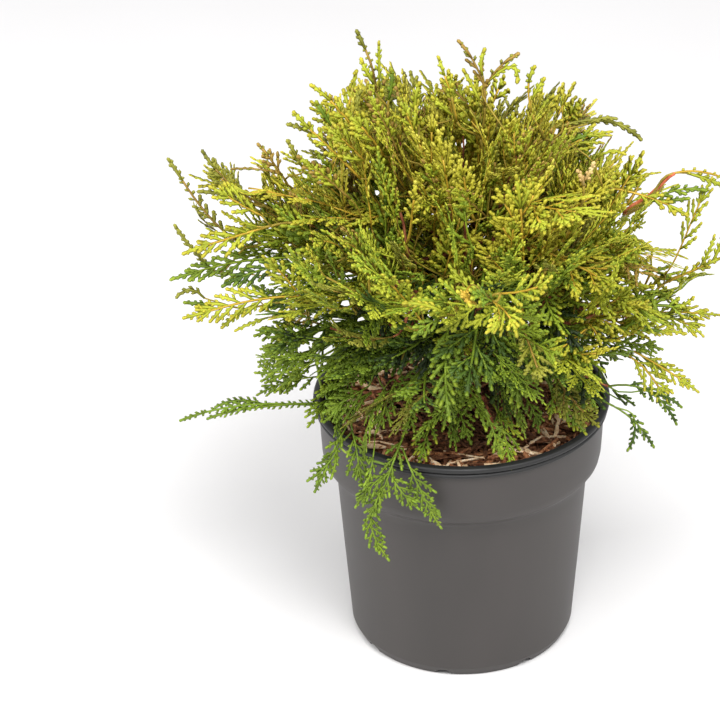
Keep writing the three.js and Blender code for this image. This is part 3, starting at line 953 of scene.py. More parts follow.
def place_template(template, sprays, rows, shape, heaps, masses):
    """Adds a template once for each of the rows of sprays, but not in the pot or in a gap."""
    meshes = [template.flat[part] for part in PARTS]
    units = np.concatenate([units for _, _, units in meshes])
    ends = np.cumsum([len(verts) for verts, _, _ in meshes])[:-1]
    whole = np.concatenate([verts for verts, _, _ in meshes])
    placed, cored = parted(bend(whole, *(values[rows] for values in shape)))
    clash = meets_pot(placed).any(1)
    for n, verts, in_core, meets in zip(rows, placed, cored, clash):
        spray = sprays[n]
        if meets or in_core[units > 0].mean() > CORE_SHARE or in_shade_gap(verts[::SHADE_SAMPLE]):
            spray["gone"] = True
            continue
        stay = ~np.isin(units, units[in_core & (units > 0)])
        for part, (_, tris, _), own, kept in zip(PARTS, meshes, np.split(verts, ends), np.split(stay, ends)):
            if kept.any():
                heap = heaps[part_colour(spray, part)]
                heap.add(*without(own, tris, kept), masses[spray["mass"]].node)


def place_sprays(sprays, templates, heaps, masses):
    """Adds every spray to the heap of each of its colours, and notes its foot for the twigs."""
    count = len(sprays)
    tips, ways, backs, outer, kinds = (
        np.array([s[key] for s in sprays]) for key in ("tip", "way", "back", "outer", "kind")
    )
    ways = unit(ways + rng.normal(0, WAY_SCATTER, (count, 3)))
    e2, e3 = frames_for(ways, tips)
    stout = rng.random(count) < 0.12 + 0.88 * smooth(180, 250, tips[:, 2])
    halves = [len(templates[kind]) // 2 for kind in kinds]
    which = np.array([rng.integers(half) for half in halves]) + np.where(stout, halves, 0)
    size = rng.uniform(*SIZES, count)
    lengths = np.array([templates[k][i].length for k, i in zip(kinds, which)]) * size
    curl = (rng.normal(CURL, CURL_SCATTER, count) - DROOP * smooth(235, 165, tips[:, 2])) / lengths
    sway = rng.normal(0, SWAY_SCATTER, count) / lengths
    twist = rng.normal(0, TWIST_SCATTER, count) / lengths
    cup = rng.uniform(0.0, MOST_CUP, count)
    k = curl + 1e-7
    reach = (np.sin(lengths * k) / k)[:, None] * ways + ((1 - np.cos(lengths * k)) / k)[:, None] * e3
    base = tips - reach
    # Painted shade for sprays set further back, and painted light for the foremost
    levels = colour_levels(tips, outer) + FRONT_PAINTED_LIGHT + BACK_PAINTED_SHADE * backs
    draws = rng.random(count)
    for s, b, w, level, draw in zip(sprays, base, ways, levels, draws):
        s["base"], s["start_way"], s["level"] = b, w, level
        s["tone"] = pick_tone(s["tip"], draw) if s["outer"] else None
    shape = (base, ways, e2, e3, size, curl, sway, twist, cup)
    for kind, options in templates.items():
        for t, template in enumerate(options):
            rows = np.flatnonzero((kinds == kind) & (which == t))
            place_template(template, sprays, rows, shape, heaps, masses)
    sprays[:] = [s for s in sprays if "gone" not in s]


# ======== Named sprays: single ones that show clearly at the outline, over the rim or in front ============
# kind, tone, and the foot, middle and tip of the leader
NAMED_SPRAYS = (
    ("spike", "olive", (-48, 6, 358), (-51, 2, 379), (-58, 0, 398)),
    ("feather", "lime", (-46, 4, 361), (-46, 2, 379), (-46, 0, 392)),
    ("feather", "lime", (-49, 2, 365), (-53, 0, 373), (-56, 0, 381)),
    ("feather", "fresh", (-41, 8, 352), (-39, 8, 361), (-39, 8, 371)),
    ("wisp", "gold", (-48, -8, 326), (-68, -13, 354), (-85, -16, 372)),
    ("fan", "lime", (-50, -14, 318), (-64, -18, 336), (-77, -20, 349)),
    ("fan", "lime", (-44, -16, 328), (-54, -20, 345), (-64, -22, 358)),
    ("long", "tipped", (-64, -20, 303), (-80, -26, 322), (-93, -30, 335)),
    ("long", "tipped", (-36, -10, 326), (-45, -14, 349), (-51, -16, 368)),
    ("fan", "lime", (-26, -10, 335), (-31, -14, 352), (-36, -16, 363)),
    ("feather", "fresh", (-74, -16, 348), (-78, -18, 356), (-82, -20, 365)),
    ("wisp", "lime", (-58, -16, 314), (-79, -22, 341), (-95, -26, 361)),
    ("feather", "olive", (-85, -20, 345), (-92, -22, 350), (-98, -24, 353)),
    ("feather", "olive", (-91, -20, 324), (-95, -24, 335), (-99, -26, 344)),
    ("feather", "olive", (-56, -10, 349), (-59, -12, 359), (-57, -12, 367)),
    ("feather", "bronze", (-33, -6, 338), (-34, -8, 354), (-37, -8, 367)),
    ("feather", "lime", (-24, 0, 340), (-26, 0, 353), (-23, 0, 366)),
    ("wisp", "lime", (-2, 2, 340), (-6, 0, 360), (-13, -2, 382)),
    ("feather", "lime", (-5, 0, 357), (-6, 0, 364), (-5, 0, 370)),
    ("feather", "lime", (-5, -4, 347), (-11, -6, 354), (-16, -8, 360)),
    ("wisp", "bronze", (14, 6, 347), (12, 4, 369), (4, 4, 391)),
    ("feather", "lime", (13, 4, 368), (12, 4, 376), (14, 4, 384)),
    ("wisp", "bronze", (14, 6, 359), (22, 4, 371), (33, 2, 381)),
    ("feather", "lime", (15, 6, 362), (29, 0, 375), (32, -6, 368)),
    ("feather", "gold", (11, 0, 354), (6, 0, 365), (2, 0, 373)),
    ("wisp", "lime", (41, 4, 344), (39, 4, 359), (43, 4, 372)),
    ("feather", "lime", (41, 4, 352), (44, 4, 358), (48, 4, 365)),
    ("feather", "lime", (44, 6, 336), (47, 8, 345), (53, 8, 352)),
    ("feather", "olive", (56, 10, 331), (84, 12, 334), (105, 8, 323)),
    ("feather", "olive", (74, 10, 333), (82, 9, 337), (90, 8, 337)),
    ("feather", "gold", (79, -4, 318), (86, -6, 323), (94, -8, 322)),
    ("feather", "fresh", (64, 0, 327), (70, 0, 330), (75, 0, 331)),
    ("spike", "olive", (-131, -10, 273), (-149, -16, 296), (-166, -20, 331)),
    ("long", "olive", (-115, -14, 298), (-132, -20, 314), (-148, -24, 336)),
    ("long", "gold", (-100, -30, 294), (-130, -34, 291), (-161, -38, 284)),
    ("feather", "olive", (-145, -20, 259), (-157, -26, 278), (-165, -28, 293)),
    ("long", "green", (-102, -20, 266), (-136, -26, 266), (-168, -30, 258)),
    ("feather", "olive", (-150, -30, 246), (-158, -32, 253), (-166, -34, 249)),
    ("feather", "gold", (-118, -34, 294), (-128, -36, 299), (-137, -38, 306)),
    ("feather", "bronze", (-109, -10, 317), (-121, -12, 320), (-131, -14, 321)),
    ("fan", "bronze", (-103, -6, 312), (-111, -10, 326), (-116, -12, 333)),
    ("fan", "lime", (-115, -34, 301), (-129, -38, 313), (-142, -40, 323)),
    ("feather", "olive", (-125, -20, 303), (-137, -22, 309), (-150, -24, 312)),
    ("long", "gold", (-94, -40, 251), (-125, -46, 252), (-161, -50, 244)),
    ("feather", "green", (-145, -40, 247), (-153, -42, 249), (-161, -44, 251)),
    ("feather", "lime", (-122, -44, 248), (-131, -46, 243), (-140, -48, 236)),
    ("feather", "lime", (-113, -44, 240), (-122, -46, 238), (-132, -48, 234)),
    ("fan", "green", (-94, -40, 234), (-108, -44, 232), (-121, -48, 230)),
    ("fan", "green", (-93, -44, 223), (-107, -48, 223), (-117, -50, 218)),
    ("fan", "green", (-86, -44, 208), (-103, -50, 207), (-121, -54, 208)),
    ("fan", "green", (-85, -46, 201), (-103, -52, 200), (-120, -56, 195)),
    ("feather", "fern", (-82, -52, 187), (-106, -59, 190), (-132, -64, 191)),
    ("spike", "fern", (-104, -58, 190), (-138, -66, 194), (-165, -70, 187)),
    ("feather", "fern", (-116, -60, 191), (-132, -63, 196), (-145, -67, 194)),
    ("feather", "fern", (-120, -61, 190), (-136, -65, 190), (-150, -68, 187)),
    ("wisp", "green", (104, 0, 284), (122, -2, 294), (141, -4, 296)),
    ("feather", "green", (110, -1, 288), (121, -3, 289), (132, -5, 291)),
    ("wisp", "gold", (88, -10, 301), (108, -12, 296), (130, -14, 284)),
    ("long", "lime", (119, -14, 246), (128, -12, 262), (147, -4, 302)),
    ("wisp", "gold", (119, -10, 238), (135, -12, 247), (151, -12, 256)),
    ("feather", "lime", (139, -12, 249), (144, -12, 259), (147, -12, 270)),
    ("long", "gold", (105, -16, 221), (128, -18, 223), (151, -20, 221)),
    ("fan", "lime", (111, -20, 221), (128, -22, 219), (142, -24, 211)),
    ("wisp", "gold", (87, -30, 211), (108, -34, 220), (129, -36, 218)),
    ("feather", "lime", (121, -20, 224), (129, -20, 228), (135, -22, 235)),
    ("long", "lime", (99, -42, 211), (118, -46, 201), (137, -48, 187)),
    ("fan", "lime", (96, -44, 209), (108, -48, 199), (119, -52, 182)),
    # The next four, low at the right, are darkened with painted shade
    ("wisp", "dim", (84, -46, 190), (107, -50, 189), (124, -54, 168)),
    ("feather", "dim", (109, -50, 188), (119, -52, 185), (127, -54, 179)),
    ("wisp", "dim", (82, -50, 182), (99, -56, 172), (110, -60, 156)),
    ("feather", "dim", (99, -56, 173), (99, -58, 163), (95, -60, 154)),
    ("wisp", "fern", (-31, -52, 177), (-43, -83, 164), (-53, -90, 136)),
    ("fan", "fern", (-46, -85, 158), (-56, -90, 152), (-66, -90, 139)),
    ("fan", "fern", (-50, -88, 151), (-52, -93, 143), (-58, -92, 130)),
    ("long", "fern", (-49, -88, 149), (-56, -91, 127), (-46, -89, 101)),
    ("fan", "fern", (-45, -86, 158), (-38, -91, 150), (-27, -92, 139)),
    ("long", "fern", (-37, -76, 169), (-29, -90, 152), (-16, -91, 123)),
    ("wisp", "fern", (-66, -50, 176), (-77, -74, 163), (-87, -77, 140)),
    ("tuft", "fern", (-74, -68, 167), (-80, -78, 161), (-92, -80, 150)),
    ("wisp", "fern", (-53, -66, 172), (-55, -86, 163), (-60, -90, 142)),
    ("fan", "fern", (-66, -60, 172), (-63, -78, 166), (-62, -86, 150)),
    ("fan", "fern", (-54, -50, 192), (-68, -60, 190), (-83, -66, 183)),
    ("fan", "fresh", (-18, -56, 177), (-23, -68, 169), (-27, -76, 158)),
    ("fan", "fern", (-12, -50, 188), (-8, -62, 176), (-6, -70, 163)),
    ("fan", "fern", (-5, -50, 185), (-1, -62, 176), (2, -68, 166)),
    ("fan", "fresh", (16, -50, 185), (22, -68, 174), (25, -84, 159)),
    ("fan", "fresh", (51, -46, 190), (60, -54, 179), (70, -62, 167)),
    ("fan", "fresh", (51, -46, 187), (52, -52, 182), (52, -56, 175)),
    ("fan", "fresh", (67, -40, 197), (75, -46, 188), (81, -50, 176)),
    ("fan", "fern", (9, -56, 191), (0, -60, 188), (-11, -66, 187)),
    ("fan", "fern", (35, -50, 187), (40, -56, 180), (43, -62, 170)),
    ("spike", "gold", (123, 0, 305), (143, -1, 307), (160, -3, 300)),
    ("feather", "lime", (131, 0, 305), (141, -1, 302), (153, -3, 297)),
    ("feather", "lime", (146, -12, 252), (151, -12, 264), (154, -12, 277)),
    ("feather", "dead", (67, -40, 321), (70, -42, 325), (73, -44, 334)),
    ("feather", "dead", (68, -40, 318), (67, -42, 324), (64, -44, 330)),
    ("feather", "orange", (4, -118, 286), (-1, -124, 294), (-7, -128, 300)),
    ("feather", "orange", (1, -110, 294), (-2, -122, 294), (0, -130, 292)),
    ("fan", "gold", (18, -100, 283), (34, -115, 292), (45, -123, 303)),
    ("fan", "lime", (13, -112, 285), (16, -128, 283), (9, -138, 279)),
    ("fan", "gold", (14, -112, 284), (22, -128, 284), (25, -138, 278)),
    ("fan", "gold", (68, -70, 242), (52, -88, 239), (45, -92, 240)),
    ("long", "fern", (-35, -46, 224), (-56, -56, 224), (-77, -60, 215)),
    ("fan", "fern", (-40, -50, 219), (-54, -60, 217), (-67, -66, 210)),
    ("long", "fern", (-53, -60, 210), (-69, -68, 210), (-85, -72, 204)),
    ("fan", "fern", (-56, -62, 203), (-69, -70, 199), (-82, -75, 193)),
    ("fan", "green", (-40, -56, 203), (-46, -66, 193), (-52, -74, 179)),
    ("fan", "fern", (-21, -48, 205), (-33, -56, 200), (-44, -62, 192)),
    ("fan", "green", (-33, -58, 196), (-32, -66, 187), (-36, -72, 175)),
    # This one is darkened with painted shade
    ("long", "dim", (-92, -30, 268), (-115, -34, 266), (-139, -38, 259)),
    ("fan", "lime", (-93, -40, 249), (-103, -44, 266), (-114, -46, 281)),
    ("fan", "fresh", (-83, -44, 231), (-97, -48, 230), (-112, -50, 235)),
    ("fan", "lime", (76, -52, 243), (86, -56, 253), (96, -58, 262)),
    ("long", "gold", (78, -52, 241), (90, -56, 246), (105, -56, 251)),
    ("fan", "gold", (72, -62, 245), (81, -66, 244), (89, -68, 239)),
    ("fan", "gold", (70, -62, 242), (74, -68, 239), (77, -70, 232)),
    ("long", "fresh", (84, -46, 229), (99, -48, 230), (115, -46, 226)),
    ("fan", "green", (90, -36, 214), (103, -38, 213), (116, -38, 210)),
    ("fan", "fresh", (14, -110, 283), (7, -119, 293), (0, -127, 302)),
    ("feather", "gold", (-12, -104, 273), (-24, -110, 282), (-36, -113, 285)),
    ("fan", "green", (-16, -100, 268), (-23, -106, 267), (-31, -110, 263)),
)
ARCH = ((96, 6, 277), (101, 4, 283), (109, 2, 289), (116, 1, 297), (121, 0, 303), (124, 0, 305))
ARCH_RADII = np.linspace(1.35, 1.0, len(ARCH))
TOWARDS_VIEW = np.array([0.0, -0.8, 0.6])
NAMED_TILT = 0.28  # how far, at random, the named sprays face away from the view


def along_curve(verts, points, length, over):
    """A template's vertices laid along the curve through three points."""
    a, b, c = (np.array(p, float) for p in points)
    control = 2 * b - (a + c) / 2
    t = np.linspace(0, 1, 40)[:, None]
    curve = (1 - t) ** 2 * a + 2 * t * (1 - t) * control + t * t * c
    s = distances_along(curve)
    x = verts[:, 0] * (s[-1] / length)
    inside = np.clip(x, 0, s[-1])
    along = unit(point_at(unit(np.gradient(curve, axis=0)), s, inside))
    face = square_to(along, over * np.ones((len(x), 1)))
    across = np.cross(face, along)
    place = point_at(curve, s, inside) + along * (x - inside)[:, None]
    return place + across * verts[:, 1:2] + face * verts[:, 2:3]


def place_named(heaps, masses):
    """Adds the named sprays, each to the mass that is nearest, and returns them for the twigs."""
    chance = np.random.default_rng(23)
    made = []
    for kind, tone, *points in NAMED_SPRAYS:
        foot, middle, _ = points
        length = sum(math.dist(p, q) for p, q in zip(points, points[1:]))
        template = Template(chance, kind, length, float(stoutness(middle[2])))
        over = unit(TOWARDS_VIEW + chance.normal(0, NAMED_TILT, 3))
        index = int(np.argmin([gaps_to(middle, m.verts).min() for m in masses]))
        spray = {"mass": index, "tone": tone}
        spray["base"] = unparted_point(foot)
        spray["start_way"] = unit(np.subtract(middle, foot))
        for part in PARTS:
            flat, tris, _ = template.flat[part]
            if len(flat):
                row = along_curve(flat, points, length, over)
                heaps[part_colour(spray, part)].add(row, tris, masses[index].node)
        made.append(spray)
    return made


# ======== Twigs: each mass's own branching from its bough's end to its sprays' feet ========================
TWIG_STEP = 5  # millimetres from one point of a twig to the next
TWIG_PULL = 0.36  # how much of its span a twig runs on straight at both ends
START_BEND_COST, END_BEND_COST = 0.8, 1.1  # of turning off the way it starts, and off the way it ends
FIRST_REACH = 0.45  # the first twig's, on the way to its mass's furthest corner
WOODY_RADIUS = 0.92
THIN_RADIUS = 0.56
INNER_TWIG_LIMIT, OUTER_TWIG_LIMIT = 2.6, 0.88  # a twig's greatest radius near the fork and far from it
OLIVE_TWIGS_FROM = 232  # lower down the thin twigs are green


class Branching:
    """Grows towards one spray's foot after another, each from the best place already grown."""

    def __init__(self, start, way):
        self.points, self.ways, self.parents, self.load = [start], [way], [-1], [0]
        self.twigs = []

    def grow(self, goal, end_way):
        """Adds a twig that ends at goal, from the place where it is short and bends little."""
        points, ways = np.array(self.points), np.array(self.ways)
        gap = goal - points
        distance = np.linalg.norm(gap, axis=1)
        ahead = gap / np.maximum(distance, 1e-6)[:, None]
        start_bend, end_bend = 1 - (ahead * ways).sum(1), 1 - (ahead * end_way).sum(1)
        cost = distance * (1 + START_BEND_COST * start_bend + END_BEND_COST * end_bend)
        best = int(np.argmin(cost))
        span = distance[best]
        leaving = unit(ways[best] * 0.7 + gap[best] / max(span, 1e-6))
        steps = max(2, int(span / TWIG_STEP) + 1)
        t = np.linspace(0, 1, steps + 1)[1:, None]
        p0, p3 = points[best], goal
        p1, p2 = p0 + leaving * span * TWIG_PULL, p3 - end_way * span * TWIG_PULL
        line = (1 - t) ** 3 * p0 + 3 * (1 - t) ** 2 * t * p1 + 3 * (1 - t) * t**2 * p2 + t**3 * p3
        before = np.concatenate([[p0], line[:-1]])
        ids = [best]
        for p, w in zip(line, unit(line - before)):
            self.points.append(p)
            self.ways.append(w)
            self.parents.append(ids[-1])
            self.load.append(0)
            ids.append(len(self.points) - 1)
        self.twigs.append(ids)
        carrier = ids[-1]
        while carrier >= 0:
            self.load[carrier] += 1
            carrier = self.parents[carrier]

    def tubes(self, limit):
        """Each twig as (path, radii), thicker where it carries more."""
        for ids in self.twigs:
            load = np.array([self.load[i] for i in ids], float)
            load[0] = load[1]
            radii = np.clip(THIN_RADIUS * load**0.4, THIN_RADIUS, limit)
            yield np.array([self.points[i] for i in ids]), radii


def twig_colour(path, radii):
    if radii.max() > WOODY_RADIUS:
        return "woody"
    return "green" if path[-1, 2] < OLIVE_TWIGS_FROM else "olive"


def twig_start(mass, limbs, grown):
    """Where a mass's twigs start: at its bough's end, or on the nearest twig of a neighbour."""
    if mass.name in limbs:
        line, radii = limbs[mass.name]
        return unparted_point(line[-1]), unit(line[-1] - line[-3]), radii[-1]
    every = np.concatenate([np.array(b.points) for b in grown])
    ways = np.concatenate([np.array(b.ways) for b in grown])
    inner = mass.verts[gaps_to(FORK, mass.verts).argmin()]
    near = gaps_to(inner, every).argmin()
    return every[near], ways[near], OUTER_TWIG_LIMIT


def grow_twigs(sprays, masses, limbs, heaps):
    """Adds the twigs of every mass, first of those that have a bough of their own."""
    grown = []
    for index in sorted(range(len(masses)), key=lambda i: masses[i].name not in limbs):
        mass = masses[index]
        start, way, limit = twig_start(mass, limbs, grown)
        branching = Branching(start, way)
        if mass.name not in BARE_MASSES:
            across = mass.verts[gaps_to(start, mass.verts).argmax()] - start
            branching.grow(start + across * FIRST_REACH, unit(across))
        if mass.name == "arching_shoot":
            branching.grow(unparted_point(ARCH[0]), unit(np.subtract(ARCH[1], ARCH[0])))
            heaps["salmon"].add(*tube(np.array(ARCH, float), ARCH_RADII, 7), mass.node)
        own = [s for s in sprays if s["mass"] == index]
        own.sort(key=lambda s: gaps_to(start, s["base"]))
        for s in own:
            branching.grow(s["base"], s["start_way"])
        grown.append(branching)
        for path, radii in branching.tubes(limit):
            path = parted(path[None])[0][0]
            most = np.interp(gaps_to(FORK, path), [40, 100], [INNER_TWIG_LIMIT, OUTER_TWIG_LIMIT])
            radii = np.minimum(radii, most)
            colour = twig_colour(path, radii)
            heaps[colour].add(*tube(path, radii, 6 if colour == "woody" else 4), mass.node)


# ======== Pot and mulch ==================================================================================
POT_FLOOR = 2.4
POT_SEGMENTS = 160
RIM_PAINTED_SHADE = (153.9, 154.5)  # painted shade on the rim: the plastic's colour goes from satin grey to dark between these heights
DRAIN_COUNT = 8
DRAIN_FIRST_TURN = -147.0
DRAIN_AT = 64.5  # the slots' distance from the axis
DRAIN_RADIUS, DRAIN_DEPTH, DRAIN_SQUASH = 5, 13, 0.84

MIX_TOP = 149.4
MIX_EDGE = 83.6
MIX_UNDERSIDE = 126.0
MIX_RINGS, MIX_SPOKES = 60, 150
SHREDS = 1150
SPLINTERS = 90  # of them, long and pale ones on top
SPLINTER_LENGTHS = (13, 27)
LONGEST_SHRED = 34
SHRED_WIDTHS, SHRED_THICKNESSES = (1.6, 6.2), (0.7, 1.9)
LONG_FROM, LONG_NARROWER = 13, 0.6  # shreds longer than this are narrower by this factor
MULCH_PAINTED_SHADE_RADIUS = 52.0  # nearer to the pot's axis than this the bark is mostly dark, as painted shade under the crown
TRUNK_CLEARANCE = 8  # around the trunk, where no shred lies


def arc(centre, radius, first, last, steps):
    angle = np.radians(np.linspace(first, last, steps))
    return [(centre[0] + radius * math.cos(a), centre[1] + radius * math.sin(a)) for a in angle]


def pot_outline():
    """The pot's section as (radius, height): up the outside and down the inside."""
    outside = [(0, 0.9), (58, 0.9), (60, 0), (65.4, 0)]
    outside += arc((65.0, 1.2), 1.2, -70, -20, 4)
    outside += [(68.3, 5.0)] + arc((67.6, 6.6), 1.2, -20, 6, 4)
    outside += [(72.8, 60), (76.3, 109), (76.9, 113.6), (77.9, 116.2), (79.8, 118.2), (82.2, 119.9)]
    outside += [(84.0, 122.3), (84.8, 126.5), (85.3, 136), (86.0, 152.4), (86.1, 153.6), (86.7, 154.3)]
    outside += arc((87.3, 155.7), 1.2, -70, 50, 6)
    outside += [(87.4, 157.1), (87.0, 157.5), (87.3, 158.0)]
    outside += arc((87.6, 159.8), 1.8, -65, 80, 9)
    inside = [(86.4, 161.9)] + arc((85.9, 161.2), 0.75, 90, 170, 4)
    inside += [(84.9, 158.6), (84.3, 153), (82.9, 121.8)]
    inside += [(76.2, 118.2), (75.0, 116), (66.9, 3.4), (64, POT_FLOOR), (0, POT_FLOOR)]
    return np.array(outside + inside)


def cut(piece, tools):
    """Takes the tools' shapes out of a piece, and the tools themselves out of the scene."""
    for tool in tools:
        modifier = piece.modifiers.new("cut", "BOOLEAN")
        modifier.operation = "DIFFERENCE"
        modifier.solver = "EXACT"
        modifier.object = tool
    bpy.context.view_layer.update()
    shaped = piece.evaluated_get(bpy.context.evaluated_depsgraph_get())
    mesh = bpy.data.meshes.new_from_object(shaped)
    piece.modifiers.clear()
    piece.data = mesh
    for tool in tools:
        bpy.data.objects.remove(tool)


def make_pot():
    outline = pot_outline()
    angle = np.arange(POT_SEGMENTS) * FULL_TURN / POT_SEGMENTS
    r, z = outline[1:-1, :1], outline[1:-1, 1:]
    rings = np.stack([r * np.cos(angle), r * np.sin(angle), z * np.ones(POT_SEGMENTS)], 2)
    ends = [[0, 0, outline[0, 1]], [0, 0, outline[-1, 1]]]
    verts = np.concatenate([rings.reshape(-1, 3), ends])
    pot = make_mesh("pot_shell", verts, ring_triangles(len(r), POT_SEGMENTS))
    drains = []
    for d in range(DRAIN_COUNT):
        turn = math.radians(DRAIN_FIRST_TURN + 360 / DRAIN_COUNT * d)
        bpy.ops.mesh.primitive_cylinder_add(vertices=32, radius=DRAIN_RADIUS * MM, depth=DRAIN_DEPTH * MM)
        drain = bpy.context.object
        drain.scale = (1, DRAIN_SQUASH, 1)
        drain.rotation_euler = (math.pi / 2, 0, turn + math.pi / 2)
        drain.location = (DRAIN_AT * MM * math.cos(turn), DRAIN_AT * MM * math.sin(turn), 0)
        drains.append(drain)
    cut(pot, drains)
    for polygon in pot.data.polygons:
        polygon.use_smooth = True
    pot.data.set_sharp_from_angle(angle=math.radians(32))
    finish(pot, plastic_material(), "pot", "pot")


def make_mix():
    """Potting mix: a rough, crumbly surface just under the mulch."""
    r = np.linspace(0, MIX_EDGE, MIX_RINGS + 1)[1:]
    angle = np.arange(MIX_SPOKES) * FULL_TURN / MIX_SPOKES
    x, y = r[:, None] * np.cos(angle), r[:, None] * np.sin(angle)
    chance = np.random.default_rng(12)
    z = MIX_TOP - 1.6 + chance.normal(0, 0.55, x.shape)
    for _ in range(9):
        a, b, c = chance.uniform(0, 6.28, 3)
        z += 0.28 * np.sin((x * math.cos(a) + y * math.sin(a)) / chance.uniform(3, 12) + b + c)
    z += 1.3 * np.exp(-(((x - TRUNK_X) ** 2 + (y - TRUNK_Y) ** 2) / 500))
    low_r = MIX_EDGE - 1.6
    low = [low_r * np.cos(angle), low_r * np.sin(angle), np.full(MIX_SPOKES, MIX_UNDERSIDE)]
    ends = [[0, 0, MIX_TOP - 1], [0, 0, MIX_UNDERSIDE]]
    verts = np.concatenate([np.stack([x, y, z], 2).reshape(-1, 3), np.stack(low, 1), ends])
    mix = make_mesh("mix_surface", verts, ring_triangles(MIX_RINGS + 1, MIX_SPOKES)[:, ::-1])
    finish(mix, mix_material(), "potting_mix", "potting_mix")


def shred(chance, length, width, thickness):
    """A shred of bark: a bent, twisted, torn-ended flat prism."""
    steps = 4
    s = np.linspace(-0.5, 0.5, steps) * length
    curve = chance.normal(0, 0.1) / length * s * s
    w = width * np.array([0.45, 1, 0.9, 0.4]) * chance.uniform(0.7, 1.2, steps)
    h = thickness * chance.uniform(0.7, 1.2, steps)
    skew = chance.normal(0, 0.15, steps) * width
    rings = []
    for i in range(steps):
        for y, z in ((1, -0.35), (-1, -0.5), (-0.7, 0.5), (0.75, 0.42)):
            rings.append((s[i], skew[i] + y * w[i] / 2, curve[i] + z * h[i]))
    tris = []
    for i in range(steps - 1):
        for j in range(4):
            a, b = 4 * i + j, 4 * i + (j + 1) % 4
            tris += [(a, a + 4, b + 4), (a, b + 4, b)]
    end = 4 * (steps - 1)
    tris += [(0, 1, 2), (0, 2, 3), (end, end + 2, end + 1), (end, end + 3, end + 2)]
    return np.array(rings), np.array(tris)


def mulch_colour(chance, splinter, radius, level):
    """Mostly dark near the trunk, as painted shade under the crown; elsewhere brown or dark, and tan for
    splinters and a few on top.
    """
    share = chance.random()
    # Painted shade under the crown
    if radius < MULCH_PAINTED_SHADE_RADIUS:
        return "brown" if share > 0.8 else "dark"
    if splinter or share > 0.8 and level > MIX_TOP:
        return "tan"
    return "brown" if share > 0.42 else "dark"


def make_mulch():
    """Bark mulch: shreds strewn flat over the mix, with splinters on top."""
    chance = np.random.default_rng(19)
    heaps = {name: Heap() for name in MULCH}
    for n in range(SHREDS):
        splinter = n >= SHREDS - SPLINTERS
        if splinter:
            length = chance.uniform(*SPLINTER_LENGTHS)
        else:
            length = min(chance.gamma(3.0, 4.0) + 4, LONGEST_SHRED)
        width = chance.uniform(*SHRED_WIDTHS) * (LONG_NARROWER if length > LONG_FROM else 1)
        verts, tris = shred(chance, length, width, chance.uniform(*SHRED_THICKNESSES))
        turn, pitch, roll = chance.uniform(0, FULL_TURN), chance.normal(0, 0.16), chance.normal(0, 0.5)
        rotation = Matrix.Rotation(turn, 3, "Z") @ Matrix.Rotation(pitch, 3, "Y")
        verts = verts @ np.array(rotation @ Matrix.Rotation(roll, 3, "X")).T
        reach = np.hypot(verts[:, 0], verts[:, 1]).max()
        radius = (MIX_EDGE - 0.6 - reach) * math.sqrt(chance.uniform(0, 1))
        place = chance.uniform(0, FULL_TURN)
        level = MIX_TOP + (chance.uniform(1.6, 2.6) if splinter else 2.6 * chance.random() ** 1.5 - 0.9)
        verts = verts + [radius * math.cos(place), radius * math.sin(place), level]
        if np.hypot(verts[:, 0] - TRUNK_X, verts[:, 1] - TRUNK_Y).min() < TRUNK_CLEARANCE:
            continue
        heaps[mulch_colour(chance, splinter, radius, level)].add(verts, tris, "potting_mix")
    for name, heap in heaps.items():
        material = bark_material(f"mulch_{name}_bark", MULCH[name], scale=500)
        heap.piece("mulch_" + name, material, "potting_mix")


# ======== Stage ==========================================================================================
WORLD_COLOUR, WORLD_STRENGTH = (0.97, 0.975, 1.0, 1), 0.75
FLOOR_REACH = 4000
FLOOR_COLOURS = [(0.2, (0.69, 0.68, 0.675, 1)), (0.8, (0.72, 0.715, 0.71, 1))]
LAMPS_AIM = (0, 0, 220)
LAMPS_SIZE = 1000
LAMPS = {  # place, watts and colour
    "left": ((-1500, -600, 1150), 25, (1.0, 0.99, 0.98)),
    "right": ((1500, -600, 1150), 10, (1.0, 0.99, 0.98)),
    "top": ((250, -1150, 2050), 55, (1.0, 1.0, 1.0)),
}


def make_floor():
    corners = [(x * FLOOR_REACH, y * FLOOR_REACH, 0) for x, y in ((-1, -1), (1, -1), (1, 1), (-1, 1))]
    floor = make_mesh("floor", corners, [(0, 1, 2), (0, 2, 3)])
    material, tree, bsdf = shader("pale_studio_floor", roughness=0.75, specular=0.2)
    link(tree, ramp(tree, noise(tree, 3, 2.0), FLOOR_COLOURS), "Color", bsdf, "Base Color")
    floor.data.materials.append(material)


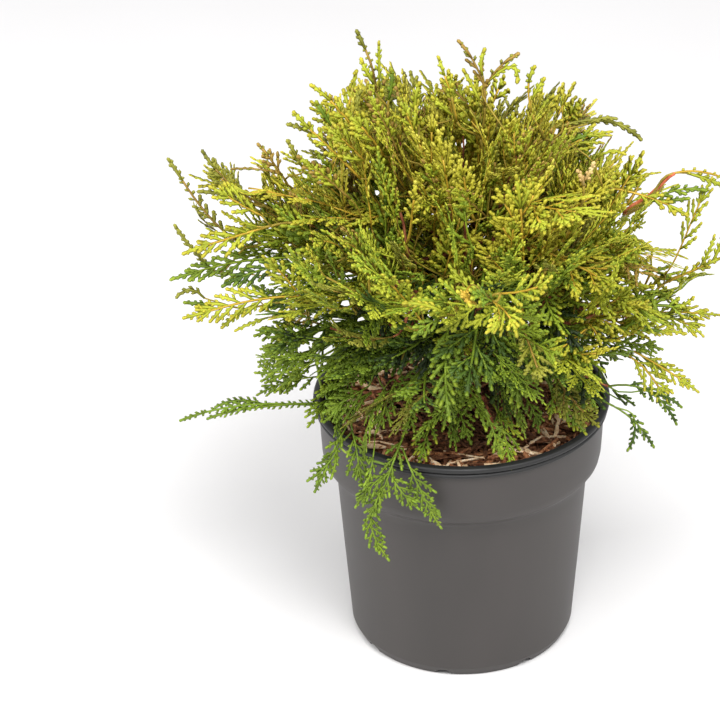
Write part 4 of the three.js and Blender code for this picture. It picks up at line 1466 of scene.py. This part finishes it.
def make_lights():
    world = bpy.data.worlds.new("studio")
    bpy.context.scene.world = world
    world.use_nodes = True
    background = world.node_tree.nodes["Background"]
    background.inputs["Color"].default_value = WORLD_COLOUR
    background.inputs["Strength"].default_value = WORLD_STRENGTH
    for name, (at, watts, colour) in LAMPS.items():
        data = bpy.data.lights.new(name, "AREA")
        data.shape = "SQUARE"
        data.size = LAMPS_SIZE * MM
        data.energy = watts
        data.color = colour
        lamp = bpy.data.objects.new(name, data)
        lamp.location = Vector(at) * MM
        lamp.rotation_euler = (Vector(LAMPS_AIM) - Vector(at)).to_track_quat("-Z", "Y").to_euler()
        bpy.context.scene.collection.objects.link(lamp)


def make_camera():
    pitch, roll = math.radians(CAMERA_PITCH), math.radians(CAMERA_ROLL)
    level = Vector((1, 0, 0))
    raised = Vector((0, math.sin(pitch), math.cos(pitch)))
    forward = Vector((0, math.cos(pitch), -math.sin(pitch)))
    right = level * math.cos(roll) - raised * math.sin(roll)
    top = level * math.sin(roll) + raised * math.cos(roll)
    data = bpy.data.cameras.new("camera")
    data.lens = LENS_MM
    data.sensor_width = 36
    camera = bpy.data.objects.new("camera", data)
    bpy.context.scene.collection.objects.link(camera)
    turn = Matrix((right, top, -forward)).transposed()
    camera.matrix_world = Matrix.Translation(Vector(CAMERA_AT) * MM) @ turn.to_4x4()
    bpy.context.scene.camera = camera
    bpy.context.scene.view_settings.view_transform = "Standard"


# ======== The scene ======================================================================================
make_camera()
make_floor()
make_lights()
make_pot()
make_mix()
make_mulch()

limb_heap, limbs = limb_pieces()
limb_heap.piece("bark_limbs", bark_material("stringy_bark", LIMB_BARK), "bark")

masses = [Mass(n) for n in sorted(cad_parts) if n.startswith("foliage_")]
templates = make_templates()
leaf_heaps = {name: Heap() for name in LEAVES}
sprays = plan_sprays(masses)
place_sprays(sprays, templates, leaf_heaps, masses)
sprays += place_named(leaf_heaps, masses)

twig_heaps = {name: Heap() for name in TWIGS}
grow_twigs(sprays, masses, limbs, twig_heaps)
for name, (slot, look, *colours) in TWIGS.items():
    twig_heaps[name].piece("twigs_" + name, look(f"twigs_{name}_look", colours), slot)
for name, (slot, *colours) in LEAVES.items():
    leaf_heaps[name].piece("sprays_" + name, leaf_material("leaves_" + name, colours), slot)
